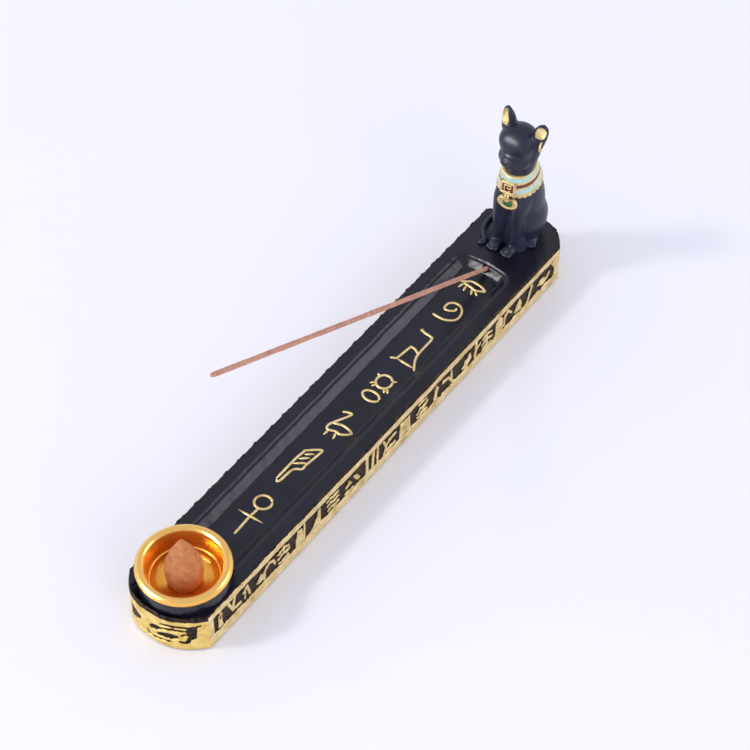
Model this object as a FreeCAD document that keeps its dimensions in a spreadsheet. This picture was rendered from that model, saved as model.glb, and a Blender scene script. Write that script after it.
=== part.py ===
import FreeCAD, Part
import math
import os

import Sketcher

# Incense burner: a long cast tray with an ash trough, a metal cup for a cone at the front end
# (-Y), a slanted hole for a stick and a seated cat at the back end (+Y). +Z is up, the tray is
# centred on the Y axis and rests on Z = 0.

# Driving sizes, in millimetres and degrees
SIZES = {
    # Tray outline
    "tray_length": 240.0,
    "tray_width": 36.0,
    "tray_height": 19.0,
    "end_rise": 9.5,
    "felt_thickness": 0.6,
    "felt_inset": 2.0,
    # Gilded frames on the tray's sides
    "frame_thickness": 0.8,
    "top_rail": 3.0,
    "bottom_rail": 4.0,
    "side_post": 4.5,
    "end_post": 4.8,
    # Ash trough
    "trough_width": 25.2,
    "trough_depth": 3.8,
    "trough_floor_width": 16.8,
    "trough_back_margin": 33.7,
    "trough_end_radius": 16.0,
    "trough_corner_radius": 5.0,
    "trough_floor_end_radius": 11.8,
    "trough_floor_corner_radius": 0.8,
    "trough_wall_lean": 3.4,
    "lip_width": 1.2,
    "lip_depth": 0.9,
    # Raised seat of the cup
    "cup_setback": 18.5,
    "seat_radius": 17.1,
    "seat_height": 5.6,
    # Cup
    "cup_radius": 14.6,
    "cup_clearance": 0.3,
    "cup_rim_radius": 17.5,
    "rim_thickness": 2.9,
    "rim_width": 3.5,
    "rim_bevel": 1.0,
    "cup_depth": 11.7,
    "cup_floor": 1.2,
    "cup_foot_bevel": 1.5,
    "cup_wall_lean": 1.0,
    "ledge_drop": 8.3,
    "ledge_width": 0.7,
    "bowl_floor_radius": 10.4,
    # Incense cone
    "cone_height": 24.2,
    "cone_radius": 6.9,
    "cone_base_radius": 4.8,
    "cone_belly_height": 6.6,
    "cone_tip_radius": 0.5,
    "cone_waist_radius": 4.5,
    "cone_waist_height": 15.0,
    # Incense stick
    "stick_length": 201.0,
    "stick_diameter": 2.0,
    "stick_rise": 29.0,
    "stick_hole_depth": 14.0,
    "stick_hole_drop": 2.0,
    "stick_clearance": 0.35,
    # Cat and its jewellery
    "cat_setback": 15.0,
    "tail_diameter": 2.6,
    "tail_sink": 0.3,
    "collar_top": 40.6,
    "collar_tilt": 11.0,
    "collar_thickness": 0.9,
    "enamel_thickness": 0.3,
    "collar_edge": 0.7,
    "collar_line": 0.5,
    "outer_band": 2.5,
    "middle_band": 1.7,
    "collar_hem": 1.6,
    "plaque_width": 7.0,
    "plaque_height": 6.0,
    "plaque_thickness": 0.6,
    "plaque_drop": 7.4,
    "pendant_width": 8.6,
    "pendant_height": 6.4,
    "pendant_thickness": 1.3,
    "pendant_drop": 15.8,
    "bail_width": 1.8,
    "stone_width": 5.0,
    "stone_height": 3.6,
    "stone_dome": 0.8,
    "earring_radius": 2.2,
    "earring_wire": 0.8,
    "earring_across": 8.7,
    "earring_along": 0.2,
    "earring_top": 56.4,
}

# Stations of the cat's forms. Lengths from the cat's own axis on the tray's top: forward is
# negative in "along", and each oval has a width across the cat and a depth along it.
TORSO = {
    # name: height, along, width, depth
    "rump": (0.0, 4.6, 16.2, 15.2),
    "hip": (8.0, 4.4, 18.0, 17.0),
    "waist": (16.0, 3.6, 18.2, 18.2),
    "shoulder": (24.0, 2.4, 18.0, 19.4),
    "breast": (30.0, 1.6, 16.0, 17.8),
    "neck": (36.0, 0.7, 13.0, 15.0),
    "nape": (42.0, 0.1, 11.0, 12.4),
    "throat": (50.0, 0.2, 10.4, 11.0),
}
HEAD = {
    # name: along, height, width, tall
    "occiput": (6.3, 53.0, 4.0, 4.4),
    "skull": (4.2, 53.0, 11.0, 11.2),
    "crown": (0.0, 52.2, 15.2, 16.4),
    "brow": (-4.0, 51.0, 13.8, 15.6),
    "cheek": (-6.6, 49.6, 10.0, 13.0),
    "bridge": (-8.2, 48.0, 7.8, 9.6),
    "muzzle": (-10.2, 47.6, 6.4, 6.8),
    "nose": (-11.6, 47.6, 3.4, 3.4),
}
# Paired forms, given for the left side (+X)
EAR = {
    # name: height, across, along, width, depth
    "ear_root": (55.0, 6.2, 0.6, 5.8, 4.2),
    "ear_base": (59.0, 7.0, 0.9, 5.8, 3.2),
    "ear_middle": (62.4, 7.6, 1.2, 4.4, 2.2),
    "ear_tip": (65.2, 8.2, 1.5, 1.4, 0.9),
}
EAR_INLAY = {
    "inlay_low": (58.6, 6.9, 0.0, 3.8, 2.2),
    "inlay_middle": (61.8, 7.5, 0.5, 2.8, 1.9),
    "inlay_top": (63.8, 7.9, 0.9, 1.4, 1.4),
}
FORELEG = {
    "wrist": (0.0, 3.8, -6.2, 4.8, 5.0),
    "forearm": (8.0, 3.9, -5.9, 5.0, 5.4),
    "elbow": (18.0, 4.3, -5.0, 6.0, 6.6),
    "upper_arm": (25.0, 4.3, -3.6, 6.2, 7.0),
    "arm_top": (29.5, 3.8, -1.8, 4.0, 4.4),
}
HAUNCH = {
    "thigh_foot": (0.0, 5.0, 3.0, 7.4, 11.6),
    "thigh_low": (5.0, 5.0, 3.2, 9.6, 15.6),
    "thigh_middle": (11.0, 5.0, 3.7, 10.4, 16.6),
    "thigh_high": (16.0, 4.8, 4.4, 8.8, 13.6),
    "thigh_top": (20.0, 4.4, 5.2, 4.6, 7.4),
}
FORE_PAW = {
    "fore_sole": (0.0, 3.5, -8.3, 4.8, 8.6),
    "fore_toes": (1.6, 3.5, -8.3, 4.6, 8.2),
    "fore_knuckle": (2.7, 3.5, -7.7, 3.4, 6.0),
    "fore_top": (3.3, 3.5, -7.2, 1.6, 2.8),
}
HIND_PAW = {
    "hind_sole": (0.0, 7.4, 1.2, 4.8, 8.6),
    "hind_toes": (1.6, 7.4, 1.2, 4.6, 8.2),
    "hind_knuckle": (2.7, 7.2, 1.8, 3.4, 6.0),
    "hind_top": (3.3, 7.0, 2.2, 1.6, 3.0),
}
TAIL = {
    # name: across, along
    "tail_root": (-5.0, 11.0),
    "tail_bend": (-12.9, 0.5),
    "tail_end": (-8.0, -11.0),
}
COLUMNS = {
    "torso": (TORSO, ("height", "along", "width", "depth")),
    "head": (HEAD, ("along", "height", "width", "tall")),
    "ear": (EAR, ("height", "across", "along", "width", "depth")),
    "ear_inlay": (EAR_INLAY, ("height", "across", "along", "width", "depth")),
    "foreleg": (FORELEG, ("height", "across", "along", "width", "depth")),
    "haunch": (HAUNCH, ("height", "across", "along", "width", "depth")),
    "fore_paw": (FORE_PAW, ("height", "across", "along", "width", "depth")),
    "hind_paw": (HIND_PAW, ("height", "across", "along", "width", "depth")),
    "tail": (TAIL, ("across", "along")),
}
# The stone's dome: shares of its rise, with the share of its outline left at each
STONE_STEPS = ((0.0, 1.0), (0.6, 0.8), (1.0, 0.35))
OVAL_SIDES = 12
ROD_SIDES = 6
PART_FOLDER = "parts"

doc = FreeCAD.newDocument("incense_burner")
sheet = doc.addObject("Spreadsheet::Sheet", "Sizes")


def fill_sheet():
    """Every driving size gets a row: its name, its number and an alias."""
    rows = dict(SIZES)
    for stations, measures in COLUMNS.values():
        for station, numbers in stations.items():
            for measure, number in zip(measures, numbers):
                name = f"{station}_{measure}"
                if name in rows:
                    raise RuntimeError(f"{name} is named twice")
                rows[name] = number
    for row, (name, number) in enumerate(rows.items(), start=1):
        sheet.set(f"A{row}", name)
        sheet.set(f"B{row}", str(number))
        sheet.setAlias(f"B{row}", name)
    doc.recompute()


class Dim:
    """A length or angle together with the sheet expression that drives it."""

    def __init__(self, value, text):
        self.value = value
        self.text = text

    def __add__(self, other):
        other = as_dim(other)
        return Dim(self.value + other.value, f"({self.text} + {other.text})")

    def __sub__(self, other):
        other = as_dim(other)
        return Dim(self.value - other.value, f"({self.text} - {other.text})")

    def __mul__(self, other):
        other = as_dim(other)
        return Dim(self.value * other.value, f"({self.text} * {other.text})")

    def __truediv__(self, other):
        other = as_dim(other)
        return Dim(self.value / other.value, f"({self.text} / {other.text})")

    def __neg__(self):
        return Dim(-self.value, f"(-{self.text})")


def as_dim(number):
    return number if isinstance(number, Dim) else Dim(float(number), str(number))


def size(name):
    """A named size as a Dim."""
    return Dim(float(sheet.get(name)), f"Sizes.{name}")


def number(name):
    """A named size as a plain number."""
    return float(sheet.get(name))


def root(dim):
    return Dim(math.sqrt(dim.value), f"sqrt({dim.text})")


def cosine(angle):
    return Dim(math.cos(math.radians(angle.value)), f"cos({angle.text})")


def sine(angle):
    return Dim(math.sin(math.radians(angle.value)), f"sin({angle.text})")


ZERO = Dim(0.0, "0")
LINE = None


def bind(item, path, dim):
    item.setExpression(path, dim.text)


def new_body(label):
    body = doc.addObject("PartDesign::Body", label)
    body.Label = label
    return body


def new_sketch(body, name, role, lift=None):
    """A sketch on one of the body's own origin planes, lifted along its normal."""
    plane = next(item for item in body.Origin.OriginFeatures if item.Role == role)
    sketch = body.newObject("Sketcher::SketchObject", name)
    sketch.AttachmentSupport = [(plane, "")]
    sketch.MapMode = "FlatFace"
    if lift is not None:
        bind(sketch, "AttachmentOffset.Base.z", lift)
    return sketch


def arc_through(start, end, radius, side):
    """The short arc of a radius from start to end, bulging to the right (1) or left (-1)."""
    chord = end - start
    middle = (start + end) * 0.5
    sagitta = radius - math.sqrt(max(radius ** 2 - (chord.Length / 2) ** 2, 0.0))
    outward = FreeCAD.Vector(chord.y, -chord.x, 0).normalize() * side
    return Part.Arc(start, middle + outward * sagitta, end)


def pin_coordinate(sketch, kind, axis, place, dim):
    """Ties one coordinate of a vertex to the sketch's origin."""
    geometry, point = place
    if dim.text == ZERO.text:
        sketch.addConstraint(Sketcher.Constraint("PointOnObject", geometry, point, axis))
        return
    if dim.value < 0:
        rule = Sketcher.Constraint(kind, geometry, point, -1, 1, -dim.value)
        index = sketch.addConstraint(rule)
        sketch.setExpression(f"Constraints[{index}]", (-dim).text)
    else:
        rule = Sketcher.Constraint(kind, -1, 1, geometry, point, dim.value)
        index = sketch.addConstraint(rule)
        sketch.setExpression(f"Constraints[{index}]", dim.text)


def draw_loop(sketch, corners, edges):
    """A closed outline. Edge i runs from corner i to the next one: LINE, or (radius, side)."""
    count = len(corners)
    points = [FreeCAD.Vector(x.value, y.value, 0) for x, y in corners]
    starts = []
    ends = []
    for i, edge in enumerate(edges):
        first = points[i]
        last = points[(i + 1) % count]
        if edge is LINE:
            index = sketch.addGeometry(Part.LineSegment(first, last), False)
            starts.append((index, 1))
            ends.append((index, 2))
            continue
        radius, side = edge
        if side > 0:
            index = sketch.addGeometry(arc_through(first, last, radius.value, 1), False)
            starts.append((index, 1))
            ends.append((index, 2))
        else:
            index = sketch.addGeometry(arc_through(last, first, radius.value, 1), False)
            starts.append((index, 2))
            ends.append((index, 1))
    for i in range(count):
        geometry, point = starts[i]
        before, before_point = ends[i - 1]
        rule = Sketcher.Constraint("Coincident", before, before_point, geometry, point)
        sketch.addConstraint(rule)
        pin_coordinate(sketch, "DistanceX", -2, starts[i], corners[i][0])
        pin_coordinate(sketch, "DistanceY", -1, starts[i], corners[i][1])
    for i, edge in enumerate(edges):
        if edge is not LINE:
            radius = edge[0]
            rule = Sketcher.Constraint("Radius", starts[i][0], radius.value)
            index = sketch.addConstraint(rule)
            sketch.setExpression(f"Constraints[{index}]", radius.text)


def draw_box(sketch, low, high):
    corners = [(low[0], low[1]), (high[0], low[1]), (high[0], high[1]), (low[0], high[1])]
    draw_loop(sketch, corners, [LINE] * 4)


def draw_circle(sketch, centre_y, radius):
    """A circle centred on the sketch's vertical axis."""
    circle = Part.Circle(FreeCAD.Vector(0, centre_y.value, 0), FreeCAD.Vector(0, 0, 1), radius.value)
    index = sketch.addGeometry(circle, False)
    pin_coordinate(sketch, "DistanceX", -2, (index, 3), ZERO)
    pin_coordinate(sketch, "DistanceY", -1, (index, 3), centre_y)
    rule = sketch.addConstraint(Sketcher.Constraint("Radius", index, radius.value))
    sketch.setExpression(f"Constraints[{rule}]", radius.text)


def add_feature(body, kind, name, sketch, length=None):
    """A sketch-based feature of a body; length drives its Length where it has one."""
    feature = body.newObject(f"PartDesign::{kind}", name)
    feature.Profile = sketch
    if length is not None:
        bind(feature, "Length", length)
    body.Tip = feature
    doc.recompute()
    return feature


def add_cut(body, kind, name, sketch, length=None):
    """A cutting feature, which has to take material away."""
    before = body.Shape.Volume
    feature = add_feature(body, kind, name, sketch, length)
    if body.Shape.Volume >= before:
        raise RuntimeError(f"{name} cuts nothing")
    return feature


def spin(body, name, sketch):
    """A full turn of a sketch about its vertical axis."""
    feature = body.newObject("PartDesign::Revolution", name)
    feature.Profile = sketch
    feature.ReferenceAxis = (sketch, ["V_Axis"])
    feature.Angle = 360.0
    body.Tip = feature
    doc.recompute()
    return feature


fill_sheet()

# Places worked out from the driving sizes
half_length = size("tray_length") / 2
half_width = size("tray_width") / 2
tray_top = size("tray_height")
end_radius = (half_width * half_width + size("end_rise") * size("end_rise")) / (size("end_rise") * 2)
end_centre = half_length - end_radius
felt_top = size("felt_thickness")
frame = size("frame_thickness")
cup_y = -(half_length - size("cup_setback"))
seat_top = tray_top + size("seat_height")
rim_top = seat_top + size("rim_thickness")
bowl_floor = rim_top - size("cup_depth")
cup_bottom = bowl_floor - size("cup_floor")
socket_floor = cup_bottom - size("cup_clearance")
trough_back = half_length - size("trough_back_margin")
trough_floor = tray_top - size("trough_depth")
hole_y = trough_back - size("trough_wall_lean") / 2
hole_z = tray_top - size("stick_hole_drop")
stick_y = hole_y + size("stick_hole_depth") * cosine(size("stick_rise"))
stick_z = hole_z - size("stick_hole_depth") * sine(size("stick_rise"))
stick_lean = Dim(90.0, "90") - size("stick_rise")
cat_y = half_length - size("cat_setback")


def corner_along(inset):
    """Where the straight side meets the curved end of the outline set in by inset."""
    radius = end_radius - inset
    half = half_width - inset
    return end_centre + root(radius * radius - half * half)


def draw_tray_outline(sketch, inset):
    """Two straight sides and two shallow curved ends, set in from the tray's outside."""
    half = half_width - inset
    corner = corner_along(inset)
    bulge = (end_radius - inset, 1)
    corners = [(half, -corner), (half, corner), (-half, corner), (-half, -corner)]
    draw_loop(sketch, corners, [LINE, bulge, LINE, bulge])


def draw_trough_outline(sketch, half, back, end, corner):
    """The trough's plan: a curved back end with rounded corners, open under the cup's seat."""
    centre = back - end
    inner = end - corner
    across = half - corner
    along = root(inner * inner - across * across)
    turn_y = centre + along
    meet_x = across * end / inner
    meet_y = centre + along * end / inner
    corners = [(half, cup_y), (half, turn_y), (meet_x, meet_y)]
    corners += [(-meet_x, meet_y), (-half, turn_y), (-half, cup_y)]
    draw_loop(sketch, corners, [LINE, (corner, 1), (end, 1), (corner, 1), LINE, LINE])


def make_tray_body():
    """The casting: trough with a stepped lip, raised cup seat with its socket, stick hole."""
    body = new_body("tray_body")
    outline = new_sketch(body, "TrayOutline", "XY_Plane", felt_top)
    draw_tray_outline(outline, frame)
    add_feature(body, "Pad", "TrayPad", outline, tray_top - felt_top)

    lip = new_sketch(body, "TroughLip", "XY_Plane", tray_top)
    lip_half = size("trough_width") / 2
    draw_trough_outline(lip, lip_half, trough_back, size("trough_end_radius"), size("trough_corner_radius"))
    add_cut(body, "Pocket", "LipPocket", lip, size("lip_depth"))

    step = size("lip_width")
    mouth = new_sketch(body, "TroughMouth", "XY_Plane", tray_top - size("lip_depth"))
    draw_trough_outline(
        mouth, lip_half - step, trough_back - step / 2,
        size("trough_end_radius") - step, size("trough_corner_radius") - step,
    )
    floor = new_sketch(body, "TroughFloor", "XY_Plane", trough_floor)
    floor_half = size("trough_floor_width") / 2
    draw_trough_outline(
        floor, floor_half, trough_back - size("trough_wall_lean"),
        size("trough_floor_end_radius"), size("trough_floor_corner_radius"),
    )
    before = body.Shape.Volume
    well = body.newObject("PartDesign::SubtractiveLoft", "TroughWell")
    well.Profile = mouth
    well.Sections = [floor]
    body.Tip = well
    doc.recompute()
    if body.Shape.Volume >= before:
        raise RuntimeError("TroughWell cuts nothing")

    boss = new_sketch(body, "SeatOutline", "XY_Plane", felt_top)
    draw_circle(boss, cup_y, size("seat_radius"))
    add_feature(body, "Pad", "SeatPad", boss, seat_top - felt_top)
    socket = new_sketch(body, "SocketOutline", "XY_Plane", seat_top)
    draw_circle(socket, cup_y, size("cup_radius") + size("cup_clearance"))
    add_cut(body, "Pocket", "SocketPocket", socket, seat_top - socket_floor)

    before = body.Shape.Volume
    hole = body.newObject("PartDesign::SubtractiveCylinder", "StickHole")
    bind(hole, "Radius", size("stick_diameter") / 2 + size("stick_clearance"))
    bind(hole, "Height", size("stick_hole_depth") + size("trough_depth"))
    place_on_stick_axis(hole)
    body.Tip = hole
    doc.recompute()
    if body.Shape.Volume >= before:
        raise RuntimeError("StickHole cuts nothing")
    return body


def place_on_stick_axis(item):
    """Stands an upright cylinder on the bottom of the stick hole, along the stick."""
    item.Placement = FreeCAD.Placement(
        FreeCAD.Vector(0, stick_y.value, stick_z.value),
        FreeCAD.Rotation(FreeCAD.Vector(1, 0, 0), stick_lean.value),
    )
    bind(item, "Placement.Base.y", stick_y)
    bind(item, "Placement.Base.z", stick_z)
    item.setExpression("Placement.Rotation.Angle", f"{stick_lean.text} * 1 deg")


def make_side_frame(label, lift):
    """A rail above, a rail below and a post at each end, round one long window."""
    body = new_body(label)
    sketch = new_sketch(body, f"{label}_outline", "YZ_Plane", lift)
    reach = corner_along(frame)
    draw_box(sketch, (-reach, felt_top), (reach, tray_top))
    opening = reach - size("side_post")
    draw_box(sketch, (-opening, felt_top + size("bottom_rail")), (opening, tray_top - size("top_rail")))
    add_feature(body, "Pad", f"{label}_pad", sketch, frame)
    return body


def make_end_frame(label, turn):
    """The curved frame of one end, with its corner posts; turn swings it to the front."""
    body = new_body(label)
    body.Placement = FreeCAD.Placement(FreeCAD.Vector(), FreeCAD.Rotation(FreeCAD.Vector(0, 0, 1), turn))
    sketch = new_sketch(body, f"{label}_outline", "XY_Plane", felt_top)
    start = corner_along(frame)
    corner = half_length - size("end_rise")
    inner = half_width - frame
    corners = [(half_width, start), (half_width, corner), (-half_width, corner), (-half_width, start)]
    corners += [(-inner, start), (inner, start)]
    edges = [LINE, (end_radius, 1), LINE, LINE, (end_radius - frame, -1), LINE]
    draw_loop(sketch, corners, edges)
    add_feature(body, "Pad", f"{label}_pad", sketch, tray_top - felt_top)
    window = new_sketch(body, f"{label}_window", "XZ_Plane")
    opening = half_width - size("end_post")
    low = felt_top + size("bottom_rail")
    draw_box(window, (-opening, low), (opening, tray_top - size("top_rail")))
    add_cut(body, "Pocket", f"{label}_cut", window, half_length)
    return body


def make_base_felt():
    body = new_body("base_felt")
    sketch = new_sketch(body, "FeltOutline", "XY_Plane")
    draw_tray_outline(sketch, size("felt_inset"))
    add_feature(body, "Pad", "FeltPad", sketch, felt_top)
    return body


def make_cone_cup():
    """A spun cup: thick rim that rests on the seat, leaning wall, ledge and sloped bowl."""
    body = new_body("cone_cup")
    bind(body, "Placement.Base.y", cup_y)
    sketch = new_sketch(body, "CupProfile", "XZ_Plane")
    wall = size("cup_radius")
    foot = size("cup_foot_bevel")
    rim = size("cup_rim_radius")
    crown = size("rim_bevel")
    mouth = rim - size("rim_width")
    ledge_z = rim_top - size("ledge_drop")
    ledge_r = mouth - size("cup_wall_lean")
    corners = [
        (ZERO, cup_bottom),
        (wall - foot, cup_bottom),
        (wall, cup_bottom + foot),
        (wall, seat_top),
        (rim, seat_top),
        (rim, rim_top - crown),
        (rim - crown, rim_top),
        (mouth + crown, rim_top),
        (mouth, rim_top - crown),
        (ledge_r, ledge_z),
        (ledge_r - size("ledge_width"), ledge_z),
        (size("bowl_floor_radius"), bowl_floor),
        (ZERO, bowl_floor),
    ]
    draw_loop(sketch, corners, [LINE] * len(corners))
    spin(body, "CupSpin", sketch)
    return body


def make_incense_cone():
    """A pressed cone with a drawn-in foot, standing on the floor of the bowl."""
    body = new_body("incense_cone")
    bind(body, "Placement.Base.y", cup_y)
    sketch = new_sketch(body, "ConeProfile", "XZ_Plane")
    tip_z = bowl_floor + size("cone_height")
    corners = [
        (ZERO, bowl_floor),
        (size("cone_base_radius"), bowl_floor),
        (size("cone_radius"), bowl_floor + size("cone_belly_height")),
        (size("cone_waist_radius"), bowl_floor + size("cone_waist_height")),
        (size("cone_tip_radius"), tip_z),
        (ZERO, tip_z),
    ]
    draw_loop(sketch, corners, [LINE] * len(corners))
    spin(body, "ConeSpin", sketch)
    return body


def make_incense_stick():
    stick = doc.addObject("Part::Cylinder", "incense_stick")
    stick.Label = "incense_stick"
    bind(stick, "Radius", size("stick_diameter") / 2)
    bind(stick, "Height", size("stick_length"))
    place_on_stick_axis(stick)
    return stick


def polygon(centre, first, second, sides):
    """A closed outline of straight sides round a centre, between two half axes."""
    points = []
    for i in range(sides + 1):
        angle = 2 * math.pi * i / sides
        points.append(centre + first * math.cos(angle) + second * math.sin(angle))
    return Part.makePolygon(points)


def level_oval(across, along, height, width, depth):
    centre = FreeCAD.Vector(across, along, height)
    return polygon(centre, FreeCAD.Vector(width / 2, 0, 0), FreeCAD.Vector(0, depth / 2, 0), OVAL_SIDES)


def upright_oval(across, along, height, width, tall):
    centre = FreeCAD.Vector(across, along, height)
    return polygon(centre, FreeCAD.Vector(width / 2, 0, 0), FreeCAD.Vector(0, 0, tall / 2), OVAL_SIDES)


def loft(wires):
    return Part.makeLoft(wires, True, True)


def torso_form(grow=0.0):
    """The cat's trunk and neck; grow sets its surface out all round."""
    wires = []
    for name in TORSO:
        width = number(f"{name}_width") + 2 * grow
        depth = number(f"{name}_depth") + 2 * grow
        wires.append(level_oval(0, number(f"{name}_along"), number(f"{name}_height"), width, depth))
    return loft(wires)


def head_form():
    wires = []
    for name in HEAD:
        place = (0, number(f"{name}_along"), number(f"{name}_height"))
        wires.append(upright_oval(*place, number(f"{name}_width"), number(f"{name}_tall")))
    return loft(wires)


def limb_form(stations, side):
    """A loft through level ovals on one side of the cat."""
    wires = []
    for name in stations:
        place = (side * number(f"{name}_across"), number(f"{name}_along"), number(f"{name}_height"))
        wires.append(level_oval(*place, number(f"{name}_width"), number(f"{name}_depth")))
    return loft(wires)


def tail_form():
    """A thin tail laid round the right haunch, flat where it lies on the tray."""
    radius = number("tail_diameter") / 2
    height = radius - number("tail_sink")
    points = [FreeCAD.Vector(number(f"{name}_across"), number(f"{name}_along"), height) for name in TAIL]
    path = Part.Arc(*points).toShape()
    rise = FreeCAD.Vector(0, 0, radius)
    section = polygon(points[0], path.tangentAt(path.FirstParameter).cross(rise), rise, ROD_SIDES)
    tail = Part.Wire([path]).makePipeShell([section], True, False)
    room = number("tray_length")
    ground = Part.makeBox(room, room, room, FreeCAD.Vector(-room / 2, -room / 2, -room))
    return tail.cut(ground)


def cat_form():
    """The whole figure as one casting."""
    cat = torso_form().fuse(head_form()).fuse(tail_form())
    for side in (1, -1):
        for stations in (EAR, FORELEG, HAUNCH, FORE_PAW, HIND_PAW):
            cat = cat.fuse(limb_form(stations, side))
    return cat


def collar_slab(top, height):
    """A tilted slice of the neck, top and height measured down the cat's axis."""
    room = number("tray_length")
    slab = Part.makeBox(room, room, height, FreeCAD.Vector(-room / 2, -room / 2, -top - height))
    slab.rotate(FreeCAD.Vector(), FreeCAD.Vector(1, 0, 0), number("collar_tilt"))
    slab.translate(FreeCAD.Vector(0, 0, number("collar_top")))
    return slab


def chest_front(form, height):
    """How far forward a form reaches on the cat's middle line at a height."""
    line = Part.makeLine(FreeCAD.Vector(0, -number("tray_width"), height), FreeCAD.Vector(0, 0, height))
    return min(vertex.Point.y for vertex in form.common(line).Vertexes)


def plate_oval(front, back, height, width, tall):
    """An upright oval plate from its front to its back face."""
    face = Part.Face(upright_oval(0, back, height, width, tall))
    return face.extrude(FreeCAD.Vector(0, front - back, 0))


def add_solid(label, shape):
    """A free-form piece, set on the tray at the cat's place."""
    item = doc.addObject("Part::Feature", label)
    item.Label = label
    item.Shape = shape
    item.Placement = FreeCAD.Placement(FreeCAD.Vector(0, cat_y.value, tray_top.value), FreeCAD.Rotation())
    return item


def collar_shapes():
    """The gilded ground of the collar and its three enamel bands, from the top down."""
    edge = number("collar_edge")
    line = number("collar_line")
    outer = number("outer_band")
    middle = number("middle_band")
    second = edge + outer + line
    third = second + middle + line
    gold_form = torso_form(number("collar_thickness"))
    enamel_form = enamelled_torso()
    whole = third + outer + number("collar_hem")
    shapes = {"broad_collar": gold_form.common(collar_slab(0, whole)).cut(torso_form())}
    bands = {"upper": (edge, outer), "middle": (second, middle), "lower": (third, outer)}
    for name, (top, height) in bands.items():
        shapes[f"collar_band_{name}"] = enamel_form.common(collar_slab(top, height)).cut(gold_form)
    return shapes


def enamelled_torso():
    return torso_form(number("collar_thickness") + number("enamel_thickness"))


def plaque_and_pendant_shapes():
    """A plaque on the bands, and under it a pendant with its bail and a domed stone."""
    worn = enamelled_torso()
    plaque_z = number("collar_top") - number("plaque_drop")
    low = plaque_z - number("plaque_height") / 2
    high = plaque_z + number("plaque_height") / 2
    front = min(chest_front(worn, low), chest_front(worn, high)) - number("plaque_thickness")
    corner = FreeCAD.Vector(-number("plaque_width") / 2, front, low)
    plaque = Part.makeBox(number("plaque_width"), -front, number("plaque_height"), corner).cut(worn)

    pendant_z = number("collar_top") - number("pendant_drop")
    face = chest_front(torso_form(), pendant_z) - number("pendant_thickness")
    plate = plate_oval(face, 0, pendant_z, number("pendant_width"), number("pendant_height"))
    plate = plate.cut(torso_form())
    for side in (1, -1):
        plate = plate.cut(limb_form(FORELEG, side))
    bail_low = pendant_z + number("stone_height") / 2 + number("bail_width") / 4
    bail_corner = FreeCAD.Vector(-number("bail_width") / 2, front, bail_low)
    bail = Part.makeBox(number("bail_width"), -front, low - bail_low, bail_corner).cut(worn)
    pendant = plate.fuse(bail).removeSplitter()

    wires = []
    for rise, share in STONE_STEPS:
        along = face - rise * number("stone_dome")
        width = share * number("stone_width")
        wires.append(upright_oval(0, along, pendant_z, width, share * number("stone_height")))
    return {"collar_plaque": plaque, "pendant": pendant, "pendant_stone": loft(wires)}


def ear_shapes(name, side):
    """The gilded inside of one ear and the hoop that hangs from it."""
    ear = limb_form(EAR, side)
    inlay = limb_form(EAR_INLAY, side).cut(ear).cut(head_form())
    radius = number("earring_radius")
    centre = FreeCAD.Vector(
        side * number("earring_across"), number("earring_along"), number("earring_top") - radius
    )
    across = FreeCAD.Vector(number("earring_wire") / 2, 0, 0)
    rise = FreeCAD.Vector(0, 0, number("earring_wire") / 2)
    wire = polygon(centre + FreeCAD.Vector(0, 0, radius), across, rise, ROD_SIDES)
    hoop = Part.Face(wire).revolve(centre, across, 360)
    return {f"ear_inlay_{name}": inlay, f"earring_{name}": hoop.cut(ear).cut(head_form())}


def make_cat():
    """The figure and what it wears; each piece is cut to sit on what carries it."""
    shapes = {"cat_figure": cat_form()}
    shapes.update(collar_shapes())
    shapes.update(plaque_and_pendant_shapes())
    for name, side in (("left", 1), ("right", -1)):
        shapes.update(ear_shapes(name, side))
    return [add_solid(label, shape) for label, shape in shapes.items()]


def check_and_write(pieces):
    """Every object has to be sound before any file is written."""
    doc.recompute()
    for item in doc.Objects:
        if "Invalid" in item.State or "Error" in item.State:
            raise RuntimeError(f"{item.Label} failed: {item.State}")
    for piece in pieces:
        shape = piece.Shape
        if shape.isNull() or not shape.isValid():
            raise RuntimeError(f"{piece.Label} has no valid shape")
    os.makedirs(PART_FOLDER, exist_ok=True)
    for piece in pieces:
        piece.Shape.exportStep(f"{PART_FOLDER}/{piece.Label}.step")
        solids = len(piece.Shape.Solids)
        print(f"{piece.Label}: {solids} solid(s), {piece.Shape.Volume:.1f} mm3")


sub_parts = [
    make_tray_body(),
    make_side_frame("frieze_frame_right", half_width - frame),
    make_side_frame("frieze_frame_left", -half_width),
    make_end_frame("end_frame_front", 180),
    make_end_frame("end_frame_back", 0),
    make_base_felt(),
    make_cone_cup(),
    make_incense_cone(),
    make_incense_stick(),
]
sub_parts += make_cat()
check_and_write(sub_parts)
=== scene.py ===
import math

import bmesh
import bpy
import numpy as np
from mathutils import Matrix, Vector


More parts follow.
